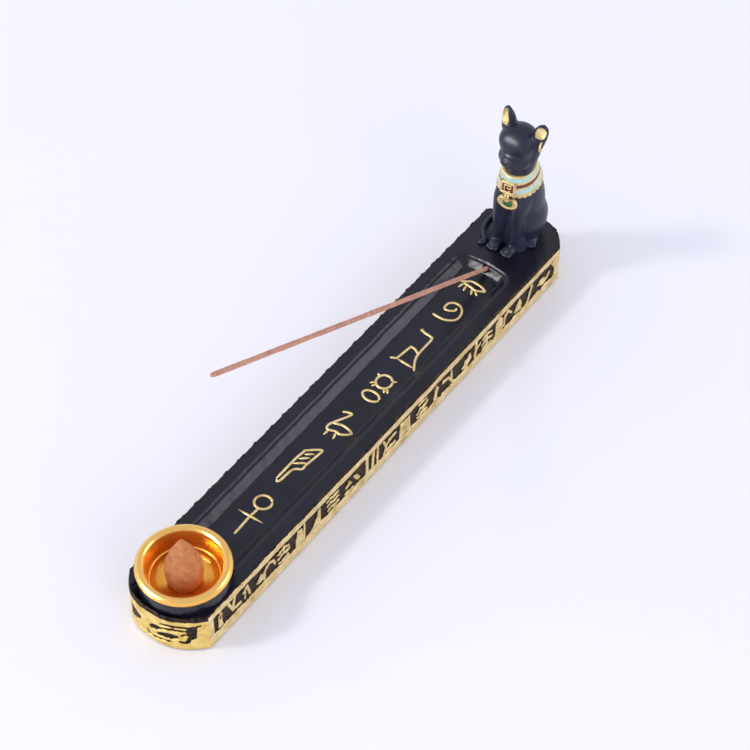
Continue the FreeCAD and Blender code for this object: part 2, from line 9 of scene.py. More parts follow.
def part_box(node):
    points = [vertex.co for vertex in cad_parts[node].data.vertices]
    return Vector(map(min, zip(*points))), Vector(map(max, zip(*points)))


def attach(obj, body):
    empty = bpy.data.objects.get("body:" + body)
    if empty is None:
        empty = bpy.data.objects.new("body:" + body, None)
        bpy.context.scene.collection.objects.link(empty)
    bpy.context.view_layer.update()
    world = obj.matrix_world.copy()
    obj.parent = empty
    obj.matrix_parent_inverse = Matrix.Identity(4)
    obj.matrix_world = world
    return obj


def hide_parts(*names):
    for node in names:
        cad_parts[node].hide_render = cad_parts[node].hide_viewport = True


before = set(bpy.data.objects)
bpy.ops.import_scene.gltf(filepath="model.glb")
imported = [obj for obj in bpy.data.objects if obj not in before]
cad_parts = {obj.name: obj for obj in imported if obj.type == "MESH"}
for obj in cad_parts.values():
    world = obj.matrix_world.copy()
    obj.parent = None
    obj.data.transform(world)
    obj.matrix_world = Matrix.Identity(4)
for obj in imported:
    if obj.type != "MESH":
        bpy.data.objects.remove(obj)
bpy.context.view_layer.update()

# Incense burner: a long black tray with gilded friezes, a metal cup with an incense cone at the
# front (-Y), an incense stick and a seated cat at the back (+Y). Sizes are in millimetres.
MM = 0.001


def box_mm(node):
    low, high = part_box(node)
    return np.array(low) / MM, np.array(high) / MM


# Places read from the frame
frame_low, frame_high = box_mm("frieze_frame_right")
TRAY_TOP = frame_high[2]
FRAME_FOOT = frame_low[2]
HALF_WIDTH = frame_high[0]
FRAME_THICKNESS = frame_high[0] - frame_low[0]
HALF_LENGTH = box_mm("end_frame_back")[1][1]
cup_low, cup_high = box_mm("cone_cup")
CUP_Y = (cup_low[1] + cup_high[1]) / 2
cone_low, cone_high = box_mm("incense_cone")
plaque_low, plaque_high = box_mm("collar_plaque")
pendant_low, pendant_high = box_mm("pendant")

# Tray sizes that the frame's boxes don't give
END_RISE = 9.5
TROUGH_HALF = 12.6
TROUGH_BACK = HALF_LENGTH - 33.7
TROUGH_END_RADIUS = 46.0
TROUGH_CORNER = 6.0
TROUGH_DEPTH = 3.8
TROUGH_FLOOR = TRAY_TOP - TROUGH_DEPTH
SIDE_WALL = 4.2
END_WALL = 3.4
SEAT_RADIUS = 17.1
SEAT_TOP = TRAY_TOP + 5.6
SOCKET_RADIUS = 14.9
SOCKET_FLOOR = cup_low[2] - 0.3
STICK_RISE = math.radians(29.0)
STICK_LENGTH = 201.0
STICK_RADIUS = 1.0
HOLE_RADIUS = 1.7
HOLE_DEPTH = 14.0
STICK_ALONG = np.array([0.0, -math.cos(STICK_RISE), math.sin(STICK_RISE)])
STICK_FOOT = sum(box_mm("incense_stick")) / 2 - STICK_ALONG * STICK_LENGTH / 2
CAT_PLACE = np.array([0.0, HALF_LENGTH - 15.0, TRAY_TOP])
# Keeps divisions by a length away from nought
TINY = 1e-9


# Mesh helpers

def circle(count):
    """Angles that divide a full turn."""
    return [2 * math.pi * i / count for i in range(count)]


def add_object(name, data):
    item = bpy.data.objects.new(name, data)
    bpy.context.scene.collection.objects.link(item)
    return item


def new_mesh(name, points, faces):
    """A mesh from points in millimetres."""
    mesh = bpy.data.meshes.new(name)
    mesh.from_pydata((np.asarray(points, float) * MM).tolist(), [], [list(map(int, face)) for face in faces])
    return mesh


def face_outward(mesh):
    """Turns all faces of a closed mesh to the outside."""
    work = bmesh.new()
    work.from_mesh(mesh)
    bmesh.ops.recalc_face_normals(work, faces=work.faces)
    work.to_mesh(mesh)
    work.free()


def add_piece(name, shape, material, slot, replaces=None, body="tray", origin=(0, 0, 0), outward=True):
    """A smooth piece of (points in millimetres, faces), riding on a body of the frame."""
    verts, faces = shape
    origin = np.asarray(origin, float)
    mesh = new_mesh(name, np.asarray(verts, float) - origin, faces)
    mesh.validate()
    mesh.update()
    mesh.materials.append(material)
    mesh.polygons.foreach_set("use_smooth", [True] * len(mesh.polygons))
    if outward:
        face_outward(mesh)
    piece = add_object(name, mesh)
    piece.location = Vector(origin * MM)
    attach(piece, body)
    if replaces:
        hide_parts(replaces)
    return piece


def merge(parts):
    """Several (verts, faces) as one."""
    verts = []
    faces = []
    for part_verts, part_faces in parts:
        faces += [[i + len(verts) for i in face] for face in part_faces]
        verts += [tuple(v) for v in part_verts]
    return verts, faces


def ring_faces(rings, count, ends="capped"):
    """Quads between rings of count points each; the first and last ring are capped, open or joined."""
    faces = []
    for r in range(rings if ends == "joined" else rings - 1):
        near = r * count
        far = (r + 1) % rings * count
        for i in range(count):
            j = (i + 1) % count
            faces.append((near + i, near + j, far + j, far + i))
    if ends == "capped":
        faces.append(tuple(range(count))[::-1])
        faces.append(tuple(range((rings - 1) * count, rings * count)))
    return faces


def smooth_path(points, per_span):
    """A Catmull-Rom curve through points of any dimension."""
    points = np.array(points, float)
    around = [2 * points[0] - points[1], *points, 2 * points[-1] - points[-2]]
    path = []
    for a, b, c, d in zip(around, around[1:], around[2:], around[3:]):
        for step in range(per_span):
            t = step / per_span
            path.append(0.5 * (2 * b + (c - a) * t + (2 * a - 5 * b + 4 * c - d) * t ** 2
                               + (3 * b - a - 3 * c + d) * t ** 3))
    return path + [points[-1]]


def sharp_path(points, step=0.6):
    """A polyline divided into short runs, with its corners kept."""
    points = np.array(points, float)
    path = []
    for start, end in zip(points, points[1:]):
        count = max(2, int(np.linalg.norm(end - start) / step))
        path += [start + (end - start) * i / count for i in range(count)]
    return path + [points[-1]]


def round_corners(points, radius, steps):
    """A polyline with its inner corners cut back by radius and rounded."""
    points = np.array(points, float)
    path = [points[0]]
    for before, corner, after in zip(points, points[1:], points[2:]):
        ends = []
        for way in (before - corner, after - corner):
            length = np.linalg.norm(way)
            ends.append(corner + way / length * min(radius, length / 2))
        for step in range(steps + 1):
            t = step / steps
            path.append((1 - t) ** 2 * ends[0] + 2 * t * (1 - t) * corner + t ** 2 * ends[1])
    return path + [points[-1]]


def lathe(profile, segments):
    """A turned form about Z from (radius, height) points that start and end on the axis."""
    inner = profile[1:-1]
    turns = circle(segments)
    verts = [(radius * math.cos(t), radius * math.sin(t), height) for radius, height in inner for t in turns]
    faces = ring_faces(len(inner), segments, "open")
    bottom = len(verts)
    last = bottom - segments
    verts += [(0, 0, profile[0][1]), (0, 0, profile[-1][1])]
    for i in range(segments):
        j = (i + 1) % segments
        faces += [(bottom, j, i), (bottom + 1, last + i, last + j)]
    return verts, faces


def turn_piece(name, profile, segments, waves, foot, *finish):
    """A turned piece on the cup's axis; waves of (size, lobes, twist, start) make its skin uneven."""
    verts, faces = lathe(profile, segments)
    shaped = []
    for x, y, z in verts:
        angle = math.atan2(y, x)
        lifts = [size * math.sin(lobes * angle + twist * z + start) for size, lobes, twist, start in waves]
        swell = 1 + sum(lifts)
        shaped.append((x * swell, y * swell + CUP_Y, z + foot))
    add_piece(name, (shaped, faces), *finish, origin=(0, CUP_Y, 0))


# A raised line's share of its width and height at its two ends
LINE_END = 0.35


def raised_line(points, width, height, sink=0.15, arc_steps=6):
    """A rounded raised line along 2-D points: verts are (across, along, height above the ground)."""
    path = np.array(points, float)
    tangents = np.gradient(path, axis=0)
    tangents /= np.linalg.norm(tangents, axis=1, keepdims=True) + TINY
    normals = np.stack([-tangents[:, 1], tangents[:, 0]], 1)
    run = np.concatenate([[0], np.cumsum(np.linalg.norm(np.diff(path, axis=0), axis=1))])
    half = width / 2
    verts = []
    for place, normal, at in zip(path, normals, run):
        share = min(1.0, LINE_END + (1 - LINE_END) * min(at, run[-1] - at) / half)
        for k in range(arc_steps + 1):
            angle = math.pi * k / arc_steps
            spot = place + normal * math.cos(angle) * half * share
            verts.append((*spot, -sink + (height + sink) * math.sin(angle) * share))
    return verts, ring_faces(len(path), arc_steps + 1)


# A direction that no tube runs along, from which its section is laid out
TUBE_GUIDE = np.array([0.31, 0.17, 0.93])


def tube(points, radius, sides=12, closed=False):
    """A round rod along 3-D points."""
    path = np.array(points, float)
    if closed:
        tangents = np.roll(path, -1, axis=0) - np.roll(path, 1, axis=0)
    else:
        tangents = np.gradient(path, axis=0)
    tangents /= np.linalg.norm(tangents, axis=1, keepdims=True)
    verts = []
    for place, tangent in zip(path, tangents):
        first = np.cross(tangent, TUBE_GUIDE)
        first /= np.linalg.norm(first)
        second = np.cross(tangent, first)
        verts += [place + radius * (first * math.cos(t) + second * math.sin(t)) for t in circle(sides)]
    return verts, ring_faces(len(path), sides, "joined" if closed else "capped")


def slab(front, back):
    """A closed sheet: a grid of front points, its border carried to the back, and a back of strips."""
    rows, columns = front.shape[:2]
    index = np.arange(rows * columns).reshape(rows, columns)
    quads = np.stack([index[:-1, :-1], index[1:, :-1], index[1:, 1:], index[:-1, 1:]], -1)
    faces = quads.reshape(-1, 4).tolist()
    border = [*index[:, 0], *index[-1, 1:], *index[-2::-1, -1], *index[0, -2:0:-1]]
    back_at = {corner: rows * columns + i for i, corner in enumerate(border)}
    for here, there in zip(border, border[1:] + border[:1]):
        faces.append((here, back_at[here], back_at[there], there))
    edges = [index[0], *index[1:-1, [0, -1]], index[-1]]
    for first, second in zip(edges, edges[1:]):
        faces.append([back_at[corner] for corner in (*first, *second[::-1])])
    verts = np.concatenate([front.reshape(-1, 3), back.reshape(-1, 3)[border]])
    return verts, faces, border


# Materials

class Look:
    """The nodes of a material or world; an input takes a value or another node's output."""

    def __init__(self, owner, end="Principled BSDF"):
        owner.use_nodes = True
        self.owner = owner
        self.nodes = owner.node_tree.nodes
        self.links = owner.node_tree.links
        self.end = self.nodes[end]

    def fill(self, node, values):
        for name, value in values.items():
            if isinstance(value, bpy.types.NodeSocket):
                self.links.new(value, node.inputs[name])
            else:
                node.inputs[name].default_value = value

    def finish(self, values):
        """Fills the last node and gives the material or world."""
        self.fill(self.end, values)
        return self.owner

    def add(self, kind, values, **settings):
        """A node; its settings come first, because they decide which inputs it has."""
        node = self.nodes.new(f"ShaderNode{kind}")
        for name, value in settings.items():
            setattr(node, name, value)
        self.fill(node, values)
        return node

    def place(self, source="Object"):
        return self.add("TexCoord", {}).outputs[source]

    def height(self, place):
        return self.add("SeparateXYZ", {"Vector": place}).outputs["Z"]

    def noise(self, scale, detail=4.0, roughness=0.55):
        """Noise in the piece's own coordinates; scale is in waves per metre."""
        values = {"Vector": self.place(), "Scale": scale, "Detail": detail, "Roughness": roughness}
        return self.add("TexNoise", values).outputs["Fac"]

    def ramp(self, factor, *stops):
        """A colour ramp of (place, colour) stops."""
        node = self.add("ValToRGB", {"Fac": factor})
        elements = node.color_ramp.elements
        while len(elements) < len(stops):
            elements.new(0.5)
        for element, (place, colour) in zip(elements, stops):
            element.position = place
            element.color = (*colour, 1.0)
        return node.outputs["Color"]

    def spread(self, factor, low, high, from_low=0.3, from_high=0.7):
        """A factor mapped to low..high."""
        values = {"Value": factor, "From Min": from_low, "From Max": from_high, "To Min": low, "To Max": high}
        return self.add("MapRange", values).outputs["Result"]

    def bump(self, height, strength, distance):
        """Bump of a height factor; distance is in metres."""
        values = {"Height": height, "Strength": strength, "Distance": distance}
        return self.add("Bump", values).outputs["Normal"]


def new_look(name):
    return Look(bpy.data.materials.new(name))

BLACK_LOW = (0.003, 0.003, 0.008)
BLACK_HIGH = (0.009, 0.009, 0.021)
# The cat's copy of the black lacquer: its own bluer tone, and painted lighter than the tray's to stand in for
# the broad sheen on its thigh and flanks
CAT_LACQUER_SHEEN_LOW = (0.009, 0.011, 0.025)
CAT_LACQUER_SHEEN_HIGH = (0.021, 0.024, 0.051)
RECESS_BROWN = (0.060, 0.032, 0.010)
GOLD_DARK = (0.36, 0.21, 0.055)
GOLD_MID = (0.67, 0.48, 0.18)
GOLD_LIGHT = (0.86, 0.70, 0.36)
END_GOLD_MID = (0.70, 0.47, 0.10)
END_GOLD_LIGHT = (0.90, 0.69, 0.24)
CUP_INSIDE = (0.95, 0.47, 0.07)
CUP_RIM = (0.87, 0.53, 0.15)
FELT_DARK = (0.012, 0.012, 0.014)
FELT_LIGHT = (0.05, 0.05, 0.055)


def black_resin(name, low, high, shine, rough):
    """Cast resin with a satin blue-black lacquer."""
    look = new_look(name)
    broad = look.noise(90.0)
    return look.finish({
        "Base Color": look.ramp(broad, (0.3, low), (0.75, high)),
        "Roughness": look.spread(look.noise(900.0, detail=6.0), rough - 0.03, rough + 0.03),
        "Specular IOR Level": shine,
        "Coat Weight": 0.3 * shine,
        "Coat Roughness": 0.14,
        "Normal": look.bump(broad, 0.12, 0.0004),
    })


def gold_colour(look, mid, light):
    """Antiqued gold paint: darker in worn flecks, paler where it lies thick."""
    return look.ramp(look.noise(260.0, detail=5.0), (0.22, GOLD_DARK), (0.40, mid), (0.68, light))


def gold_paint():
    look = new_look("gold_paint")
    fine = look.noise(1500.0, detail=5.0)
    return look.finish({
        "Base Color": gold_colour(look, GOLD_MID, GOLD_LIGHT),
        "Metallic": 0.35,
        "Roughness": look.spread(fine, 0.36, 0.55),
        "Normal": look.bump(fine, 0.25, 0.0002),
    })


def gilded_relief(name, mid, light):
    """Black casting with gold brushed over what stands proud, from the mesh's gilding attribute."""
    look = new_look(name)
    gilding = look.add("Attribute", {}, attribute_name="gilding").outputs["Fac"]
    fleck = look.noise(700.0, detail=5.0)
    worn = look.add("Math", {0: fleck, 1: 0.5, 2: gilding}, operation="MULTIPLY_ADD").outputs["Value"]
    cover = look.spread(worn, 0.0, 1.0, 0.62, 0.88)
    colours = {
        "Factor": cover,
        "A": look.ramp(fleck, (0.40, BLACK_LOW), (0.66, RECESS_BROWN)),
        "B": gold_colour(look, mid, light),
    }
    return look.finish({
        "Base Color": look.add("Mix", colours, data_type="RGBA").outputs["Result"],
        "Metallic": look.spread(cover, 0.0, 0.35, 0.0, 1.0),
        "Specular IOR Level": look.spread(cover, 0.12, 0.5, 0.0, 1.0),
        "Roughness": look.spread(fleck, 0.36, 0.56),
        "Normal": look.bump(fleck, 0.3, 0.0003),
    })


def cup_metal():
    """Spun brass, orange inside and paler on the rim, with faint turning marks."""
    look = new_look("cup_metal")
    place = look.place()
    top = cup_high[2] * MM
    level = look.spread(look.height(place), 0.0, 1.0, top - 2.4 * MM, top - 0.6 * MM)
    waves = {"Vector": place, "Scale": 900.0, "Distortion": 0.5}
    rings = look.add("TexWave", waves, wave_type="RINGS", rings_direction="Z").outputs["Fac"]
    return look.finish({
        "Base Color": look.ramp(level, (0.0, CUP_INSIDE), (1.0, CUP_RIM)),
        "Metallic": 0.85,
        "Roughness": look.spread(rings, 0.20, 0.26, 0.0, 1.0),
        "Normal": look.bump(rings, 0.03, 0.00005),
    })


def powder(name, dark, light, grain):
    """Pressed incense powder: matt, grainy and unevenly coloured."""
    look = new_look(name)
    fine = look.noise(grain, detail=8.0, roughness=0.7)
    return look.finish({
        "Base Color": look.ramp(look.noise(grain * 0.15, detail=6.0), (0.3, dark), (0.7, light)),
        "Roughness": look.spread(fine, 0.8, 0.98),
        "Specular IOR Level": 0.2,
        "Normal": look.bump(fine, 0.35, 0.0003),
    })


def enamel(name, ground, mark, marks_round=0.0):
    """Glossy enamel; marks_round draws that many fine strokes round the collar in its UVs."""
    look = new_look(name)
    mottle = look.noise(700.0, detail=5.0)
    if marks_round:
        paler = [0.7 * c + 0.3 * m for c, m in zip(ground, mark)]
        colour = look.add("TexBrick", {
            "Vector": look.place("UV"), "Scale": 1.0, "Brick Width": 1.0 / marks_round, "Row Height": 0.5,
            "Mortar Size": 0.003, "Mortar Smooth": 0.4,
            "Color1": (*ground, 1.0), "Color2": (*paler, 1.0), "Mortar": (*mark, 1.0),
        }).outputs["Color"]
    else:
        colour = look.ramp(mottle, (0.3, ground), (0.8, mark))
    return look.finish({
        "Base Color": colour,
        "Roughness": look.spread(mottle, 0.18, 0.36),
        "Coat Weight": 0.4,
        "Coat Roughness": 0.15,
        "Normal": look.bump(mottle, 0.15, 0.0002),
    })


def felt_cloth():
    look = new_look("felt")
    fibres = look.noise(2500.0, detail=8.0, roughness=0.8)
    return look.finish({
        "Base Color": look.ramp(fibres, (0.3, FELT_DARK), (0.7, FELT_LIGHT)),
        "Roughness": look.spread(fibres, 0.85, 1.0),
        "Sheen Weight": 0.5,
        "Normal": look.bump(fibres, 0.7, 0.0004),
    })


BLACK = black_resin("black_resin", BLACK_LOW, BLACK_HIGH, 0.31, 0.32)
# The cat's lacquer is painted lighter than the tray's, as a painted sheen
CAT_LACQUER_SHEEN = black_resin("cat_lacquer_sheen", CAT_LACQUER_SHEEN_LOW, CAT_LACQUER_SHEEN_HIGH, 0.30, 0.40)
GOLD = gold_paint()
SIDE_RELIEF = gilded_relief("gilded_relief", GOLD_MID, GOLD_LIGHT)
END_RELIEF = gilded_relief("gilded_end", END_GOLD_MID, END_GOLD_LIGHT)
CUP_METAL = cup_metal()
CONE_POWDER = powder("cone_incense", (0.45, 0.155, 0.056), (0.63, 0.255, 0.10), 2600.0)
STICK_POWDER = powder("stick_incense", (0.42, 0.19, 0.12), (0.62, 0.34, 0.25), 3500.0)
TURQUOISE = enamel("turquoise_enamel", (0.24, 0.60, 0.62), (0.74, 0.68, 0.42), 62.0)
RED_ENAMEL = enamel("red_enamel", (0.10, 0.012, 0.014), (0.20, 0.03, 0.03))
GREEN_STONE = enamel("green_stone", (0.012, 0.07, 0.025), (0.06, 0.20, 0.08))
FELT = felt_cloth()


# Tray

LATHE_SEGMENTS = 128
# The trough's section: how far in from its outline, and how deep
TROUGH_SECTION = [
    (-0.35, 0.0), (-0.1, 0.05), (0.1, 0.45), (0.3, 0.8), (0.55, 0.9), (1.0, 0.93), (1.25, 1.02), (1.6, 1.3),
    (3.7, 3.32), (4.1, 3.64), (4.5, 3.77), (5.0, TROUGH_DEPTH),
]
STRAIGHT_ROWS = 100.0
# How square the two halves of each end are drawn: 2 is nearly round
END_POWER_LEFT = 3.3
END_POWER_RIGHT = 2.2
# Where the trough's wall runs, across and along, and where the grid's lines lie close
WALL_FOOT = 7.4
WALL_HEAD = 13.3
WALL_START = 74.0
WALL_END = 88.0
# Unevenness of the trough's outline and of the tray's top, which lies a little low for it
OUTLINE_WOBBLE = 0.09
TOP_WOBBLE = 0.022
TOP_SINK = 0.05
# How far the tray's top and the foot of the seat's ring lie below the socket's floor
SOCKET_BED = 0.5
SEAT_FOOT = 1.5
SEAT_ROUNDING = 0.6
SEAT_WAVES = ((0.0012, 5, 0.0, 0.8), (0.0008, 11, 0.0, 0.0))
SHARP_EDGE = math.radians(50.0)
DRILL_EXTRA = 5.0
DRILL_SIDES = 32


def end_curve():
    """The front end seen from outside: run along it, across, out and the outward direction."""
    x = np.linspace(-HALF_WIDTH, HALF_WIDTH, 721)
    power = np.where(x < 0, END_POWER_LEFT, END_POWER_RIGHT)
    y = HALF_LENGTH - END_RISE * np.abs(x / HALF_WIDTH) ** power
    run = np.concatenate([[0], np.cumsum(np.hypot(np.diff(x), np.diff(y)))])
    slope_x = np.gradient(x, run)
    slope_y = np.gradient(y, run)
    size = np.hypot(slope_x, slope_y)
    return run - np.interp(0, x, run), x, y, -slope_y / size, slope_x / size


END_RUN, END_X, END_Y, END_OUT_X, END_OUT_Y = end_curve()


def wobble(u, v, amount):
    """A hand-made unevenness that is the same on every run."""
    waves = np.sin(0.9 * u + 1.3) + 0.7 * np.sin(2.3 * u + 0.6 * v + 0.4)
    return amount * (waves + 0.5 * np.sin(4.7 * u - 1.9 * v))


def inside_trough(x, y):
    """Distance in from the trough's outline, which has a curved back end with rounded corners."""
    wide = np.abs(x)
    centre = TROUGH_BACK - TROUGH_END_RADIUS
    corner_x = TROUGH_HALF - TROUGH_CORNER
    corner_y = math.sqrt((TROUGH_END_RADIUS - TROUGH_CORNER) ** 2 - corner_x ** 2)
    ahead = y - centre
    steeper = SIDE_WALL / END_WALL
    at_end = (TROUGH_END_RADIUS - np.hypot(x, ahead)) * steeper
    reach = np.hypot(wide - corner_x, ahead - corner_y) + 1e-9
    turn = np.clip((ahead - corner_y) / reach * (TROUGH_END_RADIUS - TROUGH_CORNER) / corner_y, 0, 1)
    at_corner = (TROUGH_CORNER - reach) * (1 + (steeper - 1) * turn)
    at_side = TROUGH_HALF - wide
    in_end = (ahead > 0) & (wide * corner_y < corner_x * ahead)
    return np.where(in_end, at_end, np.where(ahead > corner_y, at_corner, at_side))


def tray_top_grid():
    """The tray's upper side as a grid of points, with the trough sunk in it."""
    edge = HALF_WIDTH - FRAME_THICKNESS
    end = HALF_LENGTH - FRAME_THICKNESS
    half = np.concatenate([
        np.arange(0.0, WALL_FOOT, 0.74), np.arange(WALL_FOOT, WALL_HEAD, 0.24), np.linspace(13.4, edge, 9)
    ])
    columns = np.concatenate([-half[:0:-1], half])
    rows = np.concatenate([
        np.arange(-end, WALL_START, 1.0), np.arange(WALL_START, WALL_END, 0.3), np.linspace(WALL_END, end, 56)
    ])
    row, x = np.meshgrid(rows, columns, indexing="ij")
    end_y = np.interp(
        np.where(row < 0, x, -x), END_X - END_OUT_X * FRAME_THICKNESS, END_Y - END_OUT_Y * FRAME_THICKNESS
    )
    past = (np.abs(row) - STRAIGHT_ROWS) / (end - STRAIGHT_ROWS)
    curved = np.sign(row) * (STRAIGHT_ROWS + past * (end_y - STRAIGHT_ROWS))
    y = np.where(past > 0, curved, row)
    inside = inside_trough(x, y) + wobble(0.42 * y, 0.9 * x, OUTLINE_WOBBLE)
    from_side, deep = np.array(TROUGH_SECTION).T
    z = TRAY_TOP - np.interp(inside, from_side, deep)
    z += wobble(0.55 * x + 0.21 * y, 0.63 * y - 0.2 * x, TOP_WOBBLE) - TOP_SINK
    from_cup = np.hypot(x, y - CUP_Y)
    z = np.where(from_cup < (SEAT_RADIUS + SOCKET_RADIUS) / 2, SOCKET_FLOOR - SOCKET_BED, z)
    return np.stack([x, y, z], -1)


def make_seat():
    """The raised ring round the cup's socket."""
    low = SOCKET_FLOOR - SEAT_FOOT
    profile = round_corners([
        (0.0, low), (SEAT_RADIUS - 0.1, low), (SEAT_RADIUS, SEAT_TOP), (SOCKET_RADIUS, SEAT_TOP),
        (SOCKET_RADIUS, SOCKET_FLOOR), (0.0, SOCKET_FLOOR),
    ], SEAT_ROUNDING, 5)
    turn_piece("cup_seat", profile, LATHE_SEGMENTS, SEAT_WAVES, 0.0, BLACK, "black_resin")


def make_tray():
    """The casting with its sunk trough and stick hole, and the felt under it."""
    front = tray_top_grid()
    back = front.copy()
    back[..., 2] = FRAME_FOOT
    piece = add_piece("tray", slab(front, back)[:2], BLACK, "black_resin", "tray_body")
    above = STICK_FOOT + STICK_ALONG * (HOLE_DEPTH + DRILL_EXTRA)
    drill = add_object("drill", new_mesh("drill", *tube([STICK_FOOT, above], HOLE_RADIUS, DRILL_SIDES)))
    cut = piece.modifiers.new("stick_hole", "BOOLEAN")
    cut.operation = "DIFFERENCE"
    cut.solver = "EXACT"
    cut.object = drill
    bpy.context.view_layer.update()
    drilled = bpy.data.meshes.new_from_object(piece.evaluated_get(bpy.context.evaluated_depsgraph_get()))
    piece.modifiers.remove(cut)
    piece.data = drilled
    drilled.set_sharp_from_angle(angle=SHARP_EDGE)
    bpy.data.objects.remove(drill)
    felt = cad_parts["base_felt"].data
    felt.materials.clear()
    felt.materials.append(FELT)


# Signs on the trough's floor, as (across, along) points in millimetres
SIGN_WIDTH = 1.1
SIGN_HEIGHT = 0.35
SIGN_SINK = 0.05
BROAD_SIGN_WIDTH = 1.7
SIGN_PLACE = (0.9, -1.2)


def oval_points(centre, long_axis, short_axis, steps=28):
    centre, long_axis, short_axis = np.array([centre, long_axis, short_axis], float)
    turns = circle(steps) + [2 * math.pi]
    return [centre + long_axis * math.cos(t) + short_axis * math.sin(t) for t in turns]


def trough_signs():
    """Looped cross, feather, bird, ringed sun, plough, curl and eye, from the cup to the stick."""
    straight = [
        [(-0.4, -59.3), (-0.8, -64.1), (-0.4, -73.5)],
        [(-6.2, -64.0), (5.0, -63.6)],
        [(-2.4, -29.6), (0.8, -27.2)],
        [(-2.9, -32.5), (0.5, -29.6)],
        [(-3.4, -35.6), (1.3, -32.0)],
        [(-2.2, -15.3), (-2.4, -17.9)],
        [(0.7, -14.1), (1.8, -17.5)],
        [(-2.6, 17.4), (-3.9, 18.4)],
        [(3.1, 17.9), (4.8, 19.1)],
        [(2.6, 13.4), (3.9, 11.6)],
        [(3.4, 14.3), (5.2, 12.2)],
        [(-2.0, 14.2), (-3.7, 12.6)],
        [(-1.1, 13.4), (-2.2, 11.7)],
        [(-5.1, 27.4), (-2.6, 28.6), (-1.6, 36.7), (0.4, 36.5), (2.9, 35.2)],
        [(-2.6, 28.6), (5.9, 28.2)],
        [(-4.3, 75.9), (-4.9, 72.8)],
        [(-2.8, 75.5), (-2.2, 72.3)],
        [(0.1, 75.2), (1.5, 72.3)],
        [(1.6, 74.9), (3.8, 73.2)],
    ]
    curved = [
        [(-3.8, -44.7), (-3.8, -35.6), (-3.7, -32.2), (-3.3, -29.0), (-3.0, -27.8), (1.7, -24.2),
         (1.9, -27.2), (1.2, -33.4), (1.2, -35.6), (-1.5, -38.0), (-2.2, -45.0), (-3.8, -44.7)],
        [(-3.5, -4.9), (-0.4, -3.7), (0.2, -4.8), (-3.3, -11.7), (-3.7, -13.9), (-2.5, -15.0), (0.3, -14.0),
         (2.8, -14.1), (5.8, -11.8), (4.7, -10.7), (2.3, -10.2), (0.2, -10.3), (-2.9, -11.4)],
        [(-3.6, 46.2), (-1.3, 45.5), (1.6, 45.2), (2.7, 44.0), (2.9, 35.2), (4.1, 31.2), (6.7, 27.2)],
        [(-5.2, 55.5), (-0.2, 55.4), (3.1, 56.8), (4.6, 59.0), (4.1, 62.4), (1.9, 64.9), (-1.0, 65.1),
         (-2.9, 63.4), (-3.1, 61.2), (-2.1, 60.2), (-0.2, 60.6), (1.3, 61.9), (1.0, 63.4)],
        [(-6.5, 75.9), (-4.4, 76.9), (-1.9, 78.5), (2.3, 78.3), (5.4, 77.0)],
        [(-4.7, 76.0), (-1.1, 75.7), (1.6, 75.3), (3.5, 76.1), (5.4, 77.0)],
    ]
    ovals = [
        oval_points((-0.8, -56.1), (2.7, 2.0), (-1.95, 2.45)),
        oval_points((0.6, 16.2), (2.55, 1.95), (-2.0, 2.65)),
        oval_points((0.7, 7.6), (3.65, 0.2), (-0.35, 2.3)),
    ]
    lines = [smooth_path(points, 3) if len(points) == 2 else sharp_path(points) for points in straight]
    lines += [smooth_path(points, 5) for points in curved]
    lines += ovals
    parts = [raised_line(line, SIGN_WIDTH, SIGN_HEIGHT) for line in lines]
    parts.append(raised_line(smooth_path([(-3.9, 46.3), (-2.2, 45.7)], 4), BROAD_SIGN_WIDTH, SIGN_HEIGHT))
    verts, faces = merge(parts)
    verts = [(u + SIGN_PLACE[0], v + SIGN_PLACE[1], TROUGH_FLOOR - SIGN_SINK + h) for u, v, h in verts]
    add_piece("trough_signs", (verts, faces), GOLD, "gold_paint")


# Friezes: a relief field over a panel, gilded where it stands proud

def line_distance(u, v, start, end):
    start = np.array(start)
    along = end - start
    t = np.clip(((u - start[0]) * along[0] + (v - start[1]) * along[1]) / (along @ along), 0, 1)
    return np.hypot(u - start[0] - t * along[0], v - start[1] - t * along[1])


def stroke_field(u, v, points, width):
    """Distance to a line of a given width, negative inside."""
    runs = [line_distance(u, v, a, b) for a, b in zip(points, points[1:])]
    return np.minimum.reduce(runs) - width / 2


def shape_field(u, v, corners):
    """Distance to a filled outline, negative inside."""
    loop = list(corners) + [corners[0]]
    edge = np.minimum.reduce([line_distance(u, v, a, b) for a, b in zip(loop, loop[1:])])
    inside = np.zeros(u.shape, bool)
    for (au, av), (bu, bv) in zip(loop, loop[1:]):
        crosses = (av > v) != (bv > v)
        rise = bv - av if bv != av else TINY
        inside ^= crosses & (u < au + (v - av) * (bu - au) / rise)
    return np.where(inside, -edge, edge)


SIDE_WINDOW_LOW = 4.7
SIDE_WINDOW_HIGH = 14.1
SIDE_WINDOW_REACH = 107.6
SIDE_GOLD_TOP = 17.7
# The listed signs end at this height, which hangs from the window's top
SIDE_SIGNS_TOP = 15.1
SIGN_STRETCH = 1.10
